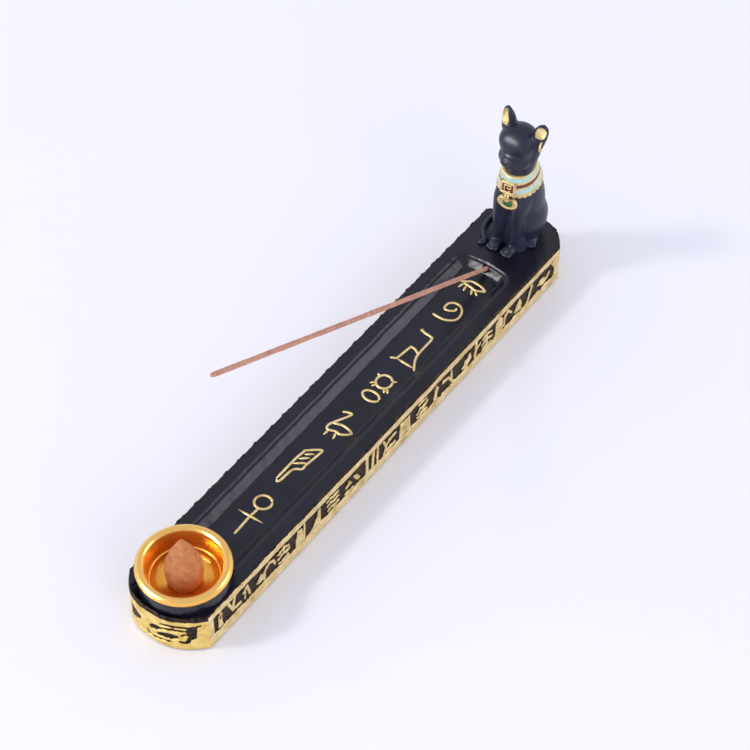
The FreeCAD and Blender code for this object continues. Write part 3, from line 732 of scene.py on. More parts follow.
# Signs of the side frieze: filled shapes and strokes, (along, height) in millimetres
SIDE_SHAPES = [
    [(-105.6, 7.0), (-105.2, 12.0), (-104.2, 15.0), (-102.6, 13.2), (-103.2, 10.0), (-102.6, 7.0)],
    [(-84.4, 9.2), (-81.2, 11.6), (-79.6, 10.6), (-80.0, 8.4), (-82.2, 8.0)],
    [(-61.2, 6.8), (-59.6, 13.6), (-57.0, 13.6), (-55.9, 6.8)],
    [(-51.4, 6.6), (-47.6, 12.8), (-46.2, 15.0), (-45.9, 6.6)],
    [(-31.2, 9.8), (-28.6, 12.8), (-26.6, 10.2)],
    [(-26.2, 12.8), (-23.8, 12.0), (-21.8, 9.0), (-23.6, 8.6), (-25.0, 10.4)],
    [(3.0, 7.0), (3.4, 13.6), (9.4, 13.8), (9.8, 7.0)],
    [(25.0, 6.8), (25.6, 11.4), (26.8, 14.6), (28.2, 12.4), (27.2, 10.2), (27.2, 6.8)],
    [(43.4, 8.2), (49.2, 13.2), (50.0, 10.0), (46.0, 6.8)],
    [(66.6, 6.8), (66.8, 13.0), (69.2, 15.0), (71.4, 13.2), (71.2, 6.8)],
    [(79.4, 8.4), (83.0, 14.0), (84.4, 11.0), (84.0, 7.4)],
    [(95.4, 10.2), (98.8, 12.4), (102.4, 9.2), (99.4, 7.8)],
    [(104.8, 14.8), (107.6, 14.8), (107.6, 10.4)],
]
SIDE_STROKES = [
    ([(-99.2, 14.0), (-97.2, 9.0), (-95.8, 15.0)], 1.3),
    ([(-97.2, 9.0), (-92.8, 8.6)], 1.2),
    ([(-91.0, 11.8), (-88.8, 13.6), (-87.6, 8.4)], 1.2),
    ([(-90.6, 8.4), (-90.0, 11.6)], 0.9),
    ([(-79.4, 7.8), (-78.8, 11.4), (-76.4, 13.4), (-73.8, 12.2), (-73.0, 9.8)], 1.2),
    ([(-71.0, 12.4), (-68.0, 13.4), (-65.0, 12.0)], 1.1),
    ([(-71.2, 9.8), (-68.6, 10.8), (-66.4, 9.8), (-64.8, 10.4)], 1.1),
    ([(-70.6, 7.4), (-65.4, 7.4)], 1.0),
    ([(-68.0, 13.2), (-67.8, 10.6)], 0.9),
    ([(-56.0, 7.0), (-55.6, 14.4)], 1.1),
    ([(-42.0, 13.2), (-40.2, 13.8), (-38.4, 12.8), (-35.4, 13.6)], 1.0),
    ([(-42.0, 10.8), (-40.0, 11.4), (-38.2, 10.4), (-35.2, 11.2)], 1.0),
    ([(-41.8, 8.4), (-39.8, 9.0), (-38.0, 8.0), (-35.2, 8.6)], 1.0),
    ([(-31.0, 7.4), (-26.4, 7.4)], 1.0),
    ([(-17.6, 6.6), (-17.6, 14.6)], 1.6),
    ([(-14.4, 6.6), (-13.6, 14.6)], 1.6),
    ([(-11.2, 6.6), (-10.8, 14.4)], 1.1),
    ([(-7.4, 14.2), (-5.6, 10.4), (-7.0, 7.2)], 1.3),
    ([(-5.6, 11.4), (0.2, 12.6)], 1.2),
    ([(-5.4, 7.8), (-0.2, 8.2)], 1.1),
    ([(14.2, 9.8), (16.4, 11.2), (18.2, 10.2), (20.6, 11.8)], 1.3),
    ([(14.4, 7.6), (17.4, 8.4), (20.4, 8.0)], 1.1),
    ([(20.2, 13.6), (15.0, 13.8)], 0.8),
    ([(30.8, 12.2), (34.6, 11.8), (37.8, 7.0)], 1.3),
    ([(36.4, 13.6), (36.8, 8.0)], 1.2),
    ([(52.6, 7.0), (53.4, 14.2)], 1.3),
    ([(53.2, 10.8), (56.0, 12.4)], 1.0),
    ([(57.6, 12.4), (60.2, 13.4), (63.4, 12.6)], 1.1),
    ([(57.2, 9.8), (60.0, 10.8), (64.0, 9.6)], 1.1),
    ([(58.0, 7.4), (63.2, 7.6)], 1.0),
    ([(60.4, 13.2), (60.6, 7.6)], 0.9),
    ([(72.2, 8.0), (72.8, 12.0), (75.0, 13.6), (77.4, 11.0)], 1.1),
    ([(88.6, 6.8), (91.4, 13.8)], 1.4),
    ([(102.2, 9.4), (104.0, 11.4)], 1.0),
]
# Fine cuts in the broad shapes
SIDE_CUTS = [
    ([(-104.2, 11.6), (-103.8, 12.6)], 0.9),
    ([(-60.0, 9.0), (-57.0, 9.0)], 0.35),
    ([(4.4, 11.8), (8.6, 12.0)], 0.35),
    ([(4.2, 9.6), (8.8, 9.4)], 0.35),
    ([(26.4, 12.0), (26.8, 12.8)], 0.6),
    ([(68.2, 9.0), (70.2, 9.2)], 0.35),
]

# Cuts of the eye on each end, (along the curve, height)
EYE_CUTS = [
    [(13.3, 14.2), (15.9, 14.5), (18.1, 15.1), (18.3, 14.3), (16.7, 13.0), (16.2, 7.0), (14.2, 7.1),
     (13.2, 9.5)],
    [(1.5, 6.8), (3.7, 8.3), (6.7, 9.2), (9.4, 8.6), (9.8, 7.1), (7.5, 6.4), (4.0, 5.8), (1.9, 5.8)],
    [(-1.8, 8.7), (-0.3, 10.6), (1.9, 11.4), (3.4, 10.9), (3.0, 9.7), (1.1, 8.6), (-1.3, 7.7)],
    [(-14.8, 15.4), (-13.2, 15.2), (-11.6, 12.4), (-9.0, 12.0), (-5.8, 10.4), (-6.8, 8.0), (-9.0, 6.4),
     (-12.0, 4.6), (-14.6, 3.4), (-15.4, 7.0)],
]
EYE_LINES = [
    ([(3.6, 13.3), (6.1, 14.0), (9.3, 14.1), (13.3, 13.8)], 1.0),
    ([(3.9, 10.8), (7.8, 12.1), (13.3, 11.5)], 1.0),
    ([(-3.2, 5.2), (-2.4, 3.4), (-0.6, 3.2), (2.3, 3.8), (6.4, 4.3)], 0.8),
    ([(14.0, 7.4), (13.2, 5.2), (11.8, 4.4), (10.6, 4.9)], 1.3),
    ([(13.2, 9.5), (12.0, 9.6), (11.0, 8.4)], 0.7),
]
CUT_GROWTH = 0.2
END_GOLD_TOP = 17.3
# The side frieze climbs a little over the end that its signs run from
RISE_START = 15.0
RISE_RUN = 50.0
WINDOW_LOW_RISE = 0.8
WINDOW_HIGH_RISE = 1.1
GOLD_TOP_RISE = 0.8
# Left of this the gold's upper edge falls away towards the corner
END_GOLD_EDGE = -9.5
END_GOLD_FALL = 0.1
# The relief's ground, the run of its flanks, and how it rounds off at its foot and worn top
RELIEF_GROUND = 0.10
RELIEF_FLANK = 0.55
FOOT_ROUNDING = 0.4
FOOT_REACH = 0.5
TOP_REACH = 1.4
TOP_WEAR = 0.6
TOP_WEAR_WOBBLE = 0.3
SKIN_WOBBLE = 0.012
# The run over which the gold fades on a flank and at its upper edge
GOLD_FLANK = 0.7
GOLD_FADE = 0.2
GOLD_WOBBLE = 0.06


def relief_panel(name, u_values, v_values, field, gold_top, place, material, node):
    """A closed panel whose front follows a relief field; place maps (u, v, height) into the frame."""
    u, v = np.meshgrid(u_values, v_values, indexing="ij")
    distance = field(u, v)
    raised = np.clip(0.5 - distance / RELIEF_FLANK, 0, 1)
    raised = raised * raised * (3 - 2 * raised)
    rounding = FOOT_ROUNDING * np.clip(1 - (v - v_values[0]) / FOOT_REACH, 0, 1) ** 2
    worn = np.clip(TOP_WEAR + wobble(0.8 * u, 0 * v, TOP_WEAR_WOBBLE), 0.05, 1.1)
    rounding += worn * np.clip(1 - (v_values[-1] - v) / TOP_REACH, 0, 1) ** 2
    height = RELIEF_GROUND + (FRAME_THICKNESS - RELIEF_GROUND - rounding) * raised
    height = np.clip(height + wobble(3 * u, 2 * v, SKIN_WOBBLE), RELIEF_GROUND, FRAME_THICKNESS)
    verts, faces, border = slab(place(u, v, height), place(u, v, np.zeros_like(u)))
    piece = add_piece(name, (verts, faces), material, "gold_paint", node)
    paint = np.clip(0.48 - (distance + wobble(u, v, GOLD_WOBBLE)) / GOLD_FLANK, 0, 1)
    paint *= np.clip((gold_top(u) - v) / GOLD_FADE, 0, 1)
    paint = np.concatenate([paint.reshape(-1), paint.reshape(-1)[border]])
    gilding = piece.data.attributes.new("gilding", "FLOAT", "POINT")
    gilding.data.foreach_set("value", paint.astype(np.float32))


def side_rise(u):
    """How far the frieze climbs towards the end that u runs from."""
    return np.clip((-u - RISE_START) / RISE_RUN, 0, 1)


def side_gold_top(u):
    return SIDE_GOLD_TOP + GOLD_TOP_RISE * side_rise(u) + wobble(0.2 * u, 0 * u, 0.09)


def end_gold_top(u):
    fall = END_GOLD_FALL * np.minimum(u - END_GOLD_EDGE, 0) ** 2
    return END_GOLD_TOP - fall + wobble(0.6 * u, 0 * u, 0.14)


def side_field(u, v):
    rise = side_rise(u)
    low = SIDE_WINDOW_LOW + WINDOW_LOW_RISE * rise + wobble(0.35 * u, v * 0, 0.16)
    high = SIDE_WINDOW_HIGH + WINDOW_HIGH_RISE * rise + wobble(0.41 * u + 9.0, v * 0, 0.14)
    field = np.minimum(SIDE_WINDOW_REACH - np.abs(u), np.minimum(v - low, high - v))
    drawn = SIDE_SIGNS_TOP - (SIDE_WINDOW_HIGH + WINDOW_HIGH_RISE * rise - v) / SIGN_STRETCH
    for corners in SIDE_SHAPES:
        field = np.minimum(field, shape_field(u, drawn, corners))
    for points, width in SIDE_STROKES:
        field = np.minimum(field, stroke_field(u, drawn, points, width))
    for points, width in SIDE_CUTS:
        field = np.maximum(field, -stroke_field(u, drawn, points, width))
    return field


def end_field(u, v):
    field = np.full(u.shape, -2.0)
    for corners in EYE_CUTS:
        field = np.maximum(field, CUT_GROWTH - shape_field(u, v, corners))
    for points, width in EYE_LINES:
        field = np.maximum(field, CUT_GROWTH - stroke_field(u, v, points, width))
    return field


PANEL_STEP = 0.36
CORNER_Y = HALF_LENGTH - END_RISE


def panel_steps(low, high):
    return np.linspace(low, high, int((high - low) / PANEL_STEP) + 1)


def make_friezes():
    heights = panel_steps(FRAME_FOOT, TRAY_TOP)
    runs = panel_steps(-CORNER_Y, CORNER_Y)
    for name, side in (("right", 1), ("left", -1)):
        def place(u, v, h, side=side):
            return np.stack([side * (HALF_WIDTH - FRAME_THICKNESS + h), side * u, v], -1)
        node = f"frieze_frame_{name}"
        relief_panel(f"frieze_{name}", runs, heights, side_field, side_gold_top, place, SIDE_RELIEF, node)
    curve = panel_steps(END_RUN[0], END_RUN[-1])
    for name, turn in (("front", -1), ("back", 1)):
        def place(u, v, h, turn=turn):
            sunk = FRAME_THICKNESS - h
            x = np.interp(u, END_RUN, END_X) - np.interp(u, END_RUN, END_OUT_X) * sunk
            y = np.interp(u, END_RUN, END_Y) - np.interp(u, END_RUN, END_OUT_Y) * sunk
            return np.stack([-turn * x, turn * y, v], -1)
        node = f"end_frame_{name}"
        relief_panel(f"end_frieze_{name}", curve, heights, end_field, end_gold_top, place, END_RELIEF, node)


# Cup, cone and stick

# The cup's lines from its rim's edge and top: (outward, upward)
CUP_LIP = [
    (-0.3, -2.9), (0.0, -2.3), (0.0, -1.2), (-1.0, -0.2), (-1.8, 0.0), (-2.6, -0.2), (-3.5, -1.2),
    (-4.5, -8.1), (-5.0, -8.3),
]
CUP_BOWL = [(-5.2, -8.4), (-5.7, -9.6), (-7.2, -10.8), (-9.4, -11.5), (-11.4, -11.7)]
CUP_CLEARANCE = 0.3
CUP_BEVEL = 1.5
CUP_ROUNDING = 0.8
CONE_SEGMENTS = 96
CONE_WAVES = ((0.008, 3, 0.4, 0.0), (0.005, 7, -0.9, 0.0))
# The stick's waves: size, turn per millimetre and start; and how its two ends round off
STICK_WAVES = ((0.03, 0.21, 0.0), (0.02, 0.83, 1.0))
STICK_MEAN = 0.95
STICK_END = 0.82
STICK_END_REACH = 0.5
STICK_SIDES = 20
STICK_RINGS = 260


def make_cup():
    """Thick rounded rim, leaning wall, ledge and a bowl with a flat bottom."""
    top = cup_high[2]
    foot = cup_low[2]
    rim = cup_high[1] - CUP_Y
    body = SOCKET_RADIUS - CUP_CLEARANCE
    lip, bowl = ([(rim + out, top + up) for out, up in line] for line in (CUP_LIP, CUP_BOWL))
    outside = [(0.0, foot), (body - CUP_BEVEL, foot), (body, foot + CUP_BEVEL), (body, lip[0][1])]
    profile = round_corners(outside + lip, CUP_ROUNDING, 5) + smooth_path(bowl, 6) + [(0.0, bowl[-1][1])]
    turn_piece("cup", profile, LATHE_SEGMENTS, (), 0.0, CUP_METAL, "cup_metal", "cone_cup", "cup")


def make_cone():
    """Pressed teardrop with a slightly uneven skin."""
    foot = cone_low[2]
    tall = cone_high[2] - foot
    profile = smooth_path([
        (0.0, 0.0), (4.5, 0.0), (5.7, 1.0), (6.6, 3.8), (6.95, 7.0), (6.8, 10.0), (6.0, 13.2), (4.6, 17.0),
        (2.8, 20.6), (1.3, tall - 0.8), (0.6, tall - 0.15), (0.0, tall),
    ], 5)
    finish = CONE_POWDER, "cone_incense", "incense_cone", "cone"
    turn_piece("cone", profile, CONE_SEGMENTS, CONE_WAVES, foot, *finish)


def make_stick():
    """A rolled stick, a little uneven along its length."""
    up = np.array([0.0, math.sin(STICK_RISE), math.cos(STICK_RISE)])
    across = np.array([1.0, 0.0, 0.0])
    verts = []
    for i in range(STICK_RINGS + 1):
        run = STICK_LENGTH * i / STICK_RINGS
        end = min(run, STICK_LENGTH - run)
        swell = sum(size * math.sin(turn * run + start) for size, turn, start in STICK_WAVES)
        radius = STICK_RADIUS * (STICK_MEAN + swell)
        radius *= STICK_END + (1 - STICK_END) * min(1.0, end / STICK_END_REACH)
        for angle in circle(STICK_SIDES):
            grain = 1 + 0.02 * math.sin(5 * angle + 1.7 * run) * math.sin(2.9 * run)
            ring = (across * math.cos(angle) + up * math.sin(angle)) * radius * grain
            verts.append(STICK_FOOT + STICK_ALONG * run + ring)
    shape = verts, ring_faces(STICK_RINGS + 1, STICK_SIDES)
    add_piece("stick", shape, STICK_POWDER, "stick_incense", "incense_stick", "stick")


# Cat: a distance field of blended rounded forms, in millimetres from its axis on the tray's top

TORSO = [
    # height, along, width, depth
    (-1.0, 4.6, 16.0, 15.0),
    (8.0, 4.4, 18.0, 17.0),
    (16.0, 3.6, 18.2, 18.2),
    (24.0, 2.4, 18.0, 19.4),
    (30.0, 1.6, 16.0, 17.8),
    (36.0, 0.7, 13.0, 15.0),
    (42.0, 0.1, 11.0, 12.4),
    (50.0, 0.2, 10.4, 11.0),
]
FORELEG = [
    # height, across, along, width, depth
    (-1.0, 3.8, -6.2, 4.8, 5.0),
    (8.0, 3.9, -5.9, 5.0, 5.4),
    (18.0, 4.3, -5.0, 6.0, 6.6),
    (26.0, 4.4, -3.4, 6.4, 7.4),
    (32.0, 3.8, -1.6, 4.4, 5.0),
]
TAIL = [
    (-5.0, 12.2), (-10.0, 8.4), (-12.9, 2.8), (-12.6, -2.8),
    (-11.0, -6.4), (-8.6, -9.0), (-7.6, -10.6), (-8.6, -11.8),
]
TAIL_RADIUS = 1.0
TAIL_HEIGHT = 0.7
SIDES = (1, -1)
# Forms of the face, which join the skull one after another; those off the middle come in pairs
FACE = [
    # centre, radii, softness of the join
    ((0, -3.0, 49.4), (6.1, 4.7, 6.8), 2.0),
    ((3.5, -3.8, 46.4), (3.2, 4.0, 3.4), 1.6),
    ((0, -6.9, 49.9), (3.6, 2.2, 1.5), 1.0),
    ((1.5, -7.6, 47.1), (2.3, 2.6, 2.2), 1.3),
    ((0, -6.9, 44.9), (2.1, 2.6, 1.7), 1.4),
    ((0, -9.3, 48.2), (0.9, 0.6, 0.5), 1.2),
]


def blend_values(z, heights, numbers):
    """Smooth interpolation of station numbers over height."""
    heights = np.asarray(heights, float)
    numbers = np.asarray(numbers, float)
    slopes = np.gradient(numbers, heights)
    i = np.clip(np.searchsorted(heights, z) - 1, 0, len(heights) - 2)
    span = heights[i + 1] - heights[i]
    t = np.clip((z - heights[i]) / span, 0, 1)
    near = (1 + 2 * t) * (1 - t) ** 2 * numbers[i] + t * (1 - t) ** 2 * span * slopes[i]
    far = t * t * (3 - 2 * t) * numbers[i + 1] + t * t * (t - 1) * span * slopes[i + 1]
    return near + far


def oval_field(u, v, half_u, half_v):
    """Distance to an oval tube."""
    near = np.sqrt((u / half_u) ** 2 + (v / half_v) ** 2)
    slope = np.sqrt((u / half_u ** 2) ** 2 + (v / half_v ** 2) ** 2) + TINY
    return np.where(near < 1e-3, -np.minimum(half_u, half_v), near * (near - 1) / slope)


def column_field(p, stations, side=0):
    """A limb or trunk of level ovals."""
    rows = np.array(stations, float)
    z = p[..., 2]
    heights = rows[:, 0]
    across = side * blend_values(z, heights, rows[:, 1]) if side else 0.0
    along, width, depth = (blend_values(z, heights, rows[:, k]) for k in (-3, -2, -1))
    distance = oval_field(
        p[..., 0] - across, p[..., 1] - along, np.maximum(width / 2, 0.05), np.maximum(depth / 2, 0.05)
    )
    return np.maximum(distance, np.maximum(heights[0] - z, z - heights[-1]))


def ball_field(p, centre, radii, tilt=0.0):
    """A stretched ball, tilted about the X axis."""
    q = p - np.array(centre)
    if tilt:
        c, s = math.cos(math.radians(tilt)), math.sin(math.radians(tilt))
        q = np.stack([q[..., 0], c * q[..., 1] + s * q[..., 2], c * q[..., 2] - s * q[..., 1]], -1)
    radii = np.array(radii)
    near = np.sqrt(((q / radii) ** 2).sum(-1))
    slope = np.sqrt(((q / radii ** 2) ** 2).sum(-1)) + TINY
    return near * (near - 1) / slope


def rod_field(p, start, end, start_radius, end_radius):
    start = np.array(start)
    along = end - start
    t = np.clip(((p - start) @ along) / (along @ along), 0, 1)
    q = p - (start + t[..., None] * along)
    return np.sqrt((q ** 2).sum(-1)) - (start_radius + t * (end_radius - start_radius))


def join(first, second, soft):
    """Union of two fields with a soft fillet."""
    h = np.clip(0.5 + 0.5 * (second - first) / soft, 0, 1)
    return second * (1 - h) + first * h - soft * h * (1 - h)


def carve(first, second, soft):
    return -join(-first, second, soft)


def paw_field(p, centre, half, length, turn):
    """A foot with four toes, pointing forward."""
    c, s = math.cos(math.radians(turn)), math.sin(math.radians(turn))
    x = p[..., 0] - centre[0]
    y = p[..., 1] - centre[1]
    q = np.stack([c * x + s * y, c * y - s * x, p[..., 2]], -1)
    field = ball_field(q, (0, 0.4, 0.6), (half, length, 2.7))
    for toe in (-1.5, -0.5, 0.5, 1.5):
        across = toe * half * 0.5
        tip = 0.5 * abs(toe) - length
        root = (across * 0.85, tip + 2.2, 1.5)
        field = join(field, rod_field(q, root, (across, tip + 0.2, 0.75), 0.75, 0.85), 0.3)
    return field


def trunk_field(p):
    """Trunk and forelegs, which the collar lies on."""
    field = column_field(p, TORSO)
    for side in SIDES:
        field = join(field, column_field(p, FORELEG, side), 1.3)
    return join(field, rod_field(p, (0, -4.4, 0), (0, -3.6, 20), 2.3, 2.6), 1.2)


def head_field(p):
    skull = ball_field(p, (0, -0.6, 53.2), (7.7, 7.0, 7.2))
    field = join(skull, rod_field(p, (-2.4, -2.8, 53.9), (2.4, -2.8, 53.9), 5.0, 5.0), 1.5)
    for (across, along, height), radii, soft in FACE:
        for side in SIDES if across else SIDES[:1]:
            field = join(field, ball_field(p, (side * across, along, height), radii), soft)
    return field


# Both ears stand a little to the cat's left, and its left ear is the shorter one
EAR_SHIFT = 0.6
EAR_DRAWN = 7.1
EAR_TIP = {1: 64.0, -1: 65.1}
EAR_HOLLOW_FOOT = {1: 1.2, -1: 0.5}
EAR_HOLLOW_TIP = 0.8


def ear_axes(side):
    base = np.array([side * 6.9 + EAR_SHIFT, 0.8, 58.0])
    tip = np.array([side * 8.3 + EAR_SHIFT, 1.5, EAR_TIP[side]])
    length = np.linalg.norm(tip - base)
    up = (tip - base) / length
    face = np.array([side * 0.35, -0.94, 0.0])
    face -= up * (face @ up)
    face /= np.linalg.norm(face)
    return base, up, face, np.cross(up, face), length


def ear_coordinates(p, side):
    base, up, face, across, length = ear_axes(side)
    q = p - base
    return q @ across, q @ face, q @ up, length


def ear_shell_field(p, side):
    across, front, height, length = ear_coordinates(p, side)
    at = np.clip(height * EAR_DRAWN / length, -4, EAR_DRAWN)
    half = blend_values(at, [-4, -1, 2, 5, 6.4, EAR_DRAWN], [2.9, 3.0, 2.9, 2.3, 1.5, 0.5])
    thick = blend_values(at, [-4, 0, 4, EAR_DRAWN], [3.4, 3.0, 2.1, 0.6])
    tube_field = oval_field(across, front, np.maximum(half, 0.2), np.maximum(thick, 0.2))
    return np.maximum(tube_field, height - length)


def ear_hollow_field(p, side):
    across, front, height, length = ear_coordinates(p, side)
    foot = EAR_HOLLOW_FOOT[side]
    tip = length - EAR_HOLLOW_TIP
    at = np.clip(height, foot, tip)
    half = np.maximum(blend_values(at, [foot, foot + 1.5, foot + 3.3, tip], [1.6, 2.2, 1.8, 0.5]), 0.15)
    field = oval_field(across, front - 2.7 + 0.27 * at, half, np.full_like(half, 1.4))
    return np.maximum(field, np.maximum(foot - height, height - tip))


def cat_field(p):
    field = trunk_field(p)
    for side in SIDES:
        thigh = ball_field(p, (side * 5.0, 3.6, 10.0), (5.2, 8.4, 10.0), tilt=-14)
        field = join(field, thigh, 1.4)
        field = join(field, paw_field(p, (side * 3.5, -8.3), 2.4, 4.2, side * -4), 0.7)
        field = join(field, paw_field(p, (side * 7.2, 1.4), 2.4, 4.0, side * 14), 0.6)
    field = join(field, head_field(p), 1.4)
    for side in SIDES:
        ear = carve(ear_shell_field(p, side), ear_hollow_field(p, side), 0.25)
        field = join(field, ear, 0.6)
    route = smooth_path([(x, y, TAIL_HEIGHT) for x, y in TAIL], 3)
    for start, end in zip(route, route[1:]):
        field = join(field, rod_field(p, start, end, TAIL_RADIUS, TAIL_RADIUS), 0.3)
    return np.maximum(field, -p[..., 2])


def surface_of(field, low, high, step):
    """The zero surface of a field as quads, by surface nets on a regular grid."""
    low = np.asarray(low, float)
    counts = np.ceil((np.asarray(high, float) - low) / step).astype(int) + 1
    axes = [low[k] + step * np.arange(counts[k]) for k in range(3)]
    values = field(np.stack(np.meshgrid(*axes, indexing="ij"), -1))
    inside = values < 0
    corners = list(np.ndindex(2, 2, 2))

    def block(array, corner):
        return array[tuple(slice(c, c + n - 1) for c, n in zip(corner, array.shape))]

    filled = sum(block(inside, corner).astype(int) for corner in corners)
    active = (filled > 0) & (filled < 8)
    index = np.full(active.shape, -1)
    index[active] = np.arange(active.sum())
    total = np.zeros((active.sum(), 3))
    hits = np.zeros(active.sum())
    for start in corners:
        first = block(values, start)[active]
        for axis in range(3):
            if start[axis]:
                continue
            second = block(values, tuple(1 if k == axis else start[k] for k in range(3)))[active]
            crossed = (first < 0) != (second < 0)
            point = np.tile(np.array(start, float), (len(total), 1))
            point[:, axis] += np.where(crossed, first / np.where(crossed, first - second, 1), 0)
            total += np.where(crossed[:, None], point, 0)
            hits += crossed
    verts = low + step * (np.argwhere(active) + total / hits[:, None])
    quads = []
    for axis, (u, w) in enumerate(((1, 2), (2, 0), (0, 1))):
        near = [slice(1, -1)] * 3
        near[axis] = slice(0, values.shape[axis] - 1)
        far = list(near)
        far[axis] = slice(1, values.shape[axis])
        before = inside[tuple(near)]
        crossed = before != inside[tuple(far)]
        offset = np.array([0 if k == axis else 1 for k in range(3)])
        cells = np.argwhere(crossed) + offset

        def cell_at(du, dw):
            moved = cells.copy()
            moved[:, u] -= du
            moved[:, w] -= dw
            return index[moved[:, 0], moved[:, 1], moved[:, 2]]

        quad = np.stack([cell_at(1, 1), cell_at(0, 1), cell_at(0, 0), cell_at(1, 0)], 1)
        quads.append(np.where(before[crossed][:, None], quad, quad[:, ::-1]))
    return settle(field, verts, step), np.concatenate(quads)


def settle(field, verts, step):
    """Moves grid-made points onto the field's zero surface."""
    reach = 0.1 * step
    for _ in range(2):
        value = field(verts)
        slope = np.stack([
            field(verts + reach * np.eye(3)[k]) - field(verts - reach * np.eye(3)[k]) for k in range(3)
        ], -1) / (2 * reach)
        size = (slope ** 2).sum(-1) + 1e-6
        move = -(value / size)[:, None] * slope
        length = np.linalg.norm(move, axis=1, keepdims=True)
        verts = verts + move * np.minimum(1, 0.5 * step / (length + TINY))
    return verts


CAT_LOW = (-15.4, -15.0, -0.7)
CAT_HIGH = (12.0, 15.4, 67.0)
CAT_STEP = 0.34
LINING_STEP = 0.2
# The ear linings' skin: how deep it lies under the hollow's face, half its thickness, and its inset
LINING_DEPTH = 0.10
LINING_HALF = 0.14
LINING_INSET = 0.12
LINING_REACH = (4.5, 3.5, 1.0)


def make_cat():
    verts, faces = surface_of(cat_field, CAT_LOW, CAT_HIGH, CAT_STEP)
    add_piece("cat", (verts + CAT_PLACE, faces), CAT_LACQUER_SHEEN, "black_resin", "cat_figure", outward=False)
    for name, side in (("left", 1), ("right", -1)):
        def lining(p, side=side):
            skin = np.abs(ear_hollow_field(p, side) + LINING_DEPTH) - LINING_HALF
            return np.maximum(skin, ear_shell_field(p, side) + LINING_INSET)
        base, *_, length = ear_axes(side)
        reach = np.array(LINING_REACH)
        verts, faces = surface_of(lining, base - reach, base + reach + (0, 0, length), LINING_STEP)
        add_piece(f"ear_lining_{name}", (verts + CAT_PLACE, faces), GOLD, "gold_paint", f"ear_inlay_{name}")


# Collar and jewels

COLLAR_TOP = 40.6
COLLAR_TILT = math.tan(math.radians(11.0))
COLLAR_AXIS_Y = 0.6
BANDS = {
    # name: top and bottom edge, as drops from the collar's top, and finish
    "upper": (0.7, 3.2, TURQUOISE, "turquoise_enamel"),
    "middle": (3.7, 5.4, RED_ENAMEL, "red_enamel"),
    "lower": (5.9, 8.4, TURQUOISE, "turquoise_enamel"),
}
HEM_DROP = 8.9
SCALLOPS = 26
SCALLOP_DEPTH = 1.1
BURIED_LIFT = -0.5
GROUND_LIFT = 0.75
RIDGE_LIFT = 1.12
ENAMEL_LIFT = 1.0
EDGE_ROUNDING = 0.12
GROOVE_SLOPE = 0.05
ENAMEL_GAP = 0.02
ENAMEL_CROWN = 0.04
AROUND = SCALLOPS * 10
NECK_ANGLES = np.linspace(0, 2 * math.pi, AROUND, endpoint=False)


def collar_points(angle, drop, lift):
    """Points round the neck: drop below the collar's top edge and lift off the cat's skin."""
    angle, drop, lift = np.broadcast_arrays(angle, drop, lift)

    def spot(radius):
        y = COLLAR_AXIS_Y - radius * np.cos(angle)
        return np.stack([radius * np.sin(angle), y, COLLAR_TOP - drop + y * COLLAR_TILT], -1)

    near = np.full(angle.shape, 1.0)
    far = np.full(angle.shape, 13.0)
    for _ in range(26):
        middle = (near + far) / 2
        outside = trunk_field(spot(middle)) > 0
        far = np.where(outside, middle, far)
        near = np.where(outside, near, middle)
    return spot(far + lift)


def collar_strip(profile):
    """A closed band round the neck from a loop of (drop, lift); a drop may vary round the neck."""
    rings = [collar_points(NECK_ANGLES, drop, lift) for drop, lift in profile]
    return np.concatenate(rings) + CAT_PLACE, ring_faces(len(profile), AROUND, "joined")


def strip_uvs(piece, rings):
    """UVs round and down a collar strip, whose last quads run on past the full round."""
    layer = piece.data.uv_layers.new(name="UVMap")
    for face in piece.data.polygons:
        places = [divmod(corner, AROUND) for corner in face.vertices]
        closes = max(step for _, step in places) == AROUND - 1
        for loop, (ring, step) in zip(face.loop_indices, places):
            turn = AROUND if closes and step == 0 else step
            layer.data[loop].uv = turn / AROUND, ring / (rings - 1)


def lower_edge(upper, top, bottom):
    """The lower edge of a band as the mirror of its upper one."""
    return [(top + bottom - drop, lift) for drop, lift in upper[::-1]]


def make_collar():
    lobe = (NECK_ANGLES * SCALLOPS / (2 * math.pi)) % 1.0 * 2 - 1
    hem = HEM_DROP + SCALLOP_DEPTH * np.sqrt(np.clip(1 - (0.97 * lobe) ** 2, 0, 1))
    edge = RIDGE_LIFT - EDGE_ROUNDING
    profile = [(0.0, BURIED_LIFT), (0.0, 0.7), (0.1, RIDGE_LIFT - 0.1), (0.3, RIDGE_LIFT)]
    for top, bottom, *_ in BANDS.values():
        upper = [(top - EDGE_ROUNDING, RIDGE_LIFT), (top, edge), (top + GROOVE_SLOPE, GROUND_LIFT)]
        profile += upper + lower_edge(upper, top, bottom)
    profile += [(hem - 0.45, RIDGE_LIFT), (hem - EDGE_ROUNDING, edge), (hem, 0.6), (hem, BURIED_LIFT)]
    add_piece("collar", collar_strip(profile), GOLD, "gold_paint", "broad_collar")
    edge = ENAMEL_LIFT - EDGE_ROUNDING
    for name, (top, bottom, material, slot) in BANDS.items():
        upper = [(top + ENAMEL_GAP, 0.5), (top + ENAMEL_GAP, edge), (top + 0.2, ENAMEL_LIFT)]
        crown = [((top + bottom) / 2, ENAMEL_LIFT + ENAMEL_CROWN)]
        loop = upper + crown + lower_edge(upper, top, bottom)
        piece = add_piece(f"enamel_{name}", collar_strip(loop), material, slot, f"collar_band_{name}")
        strip_uvs(piece, len(loop))


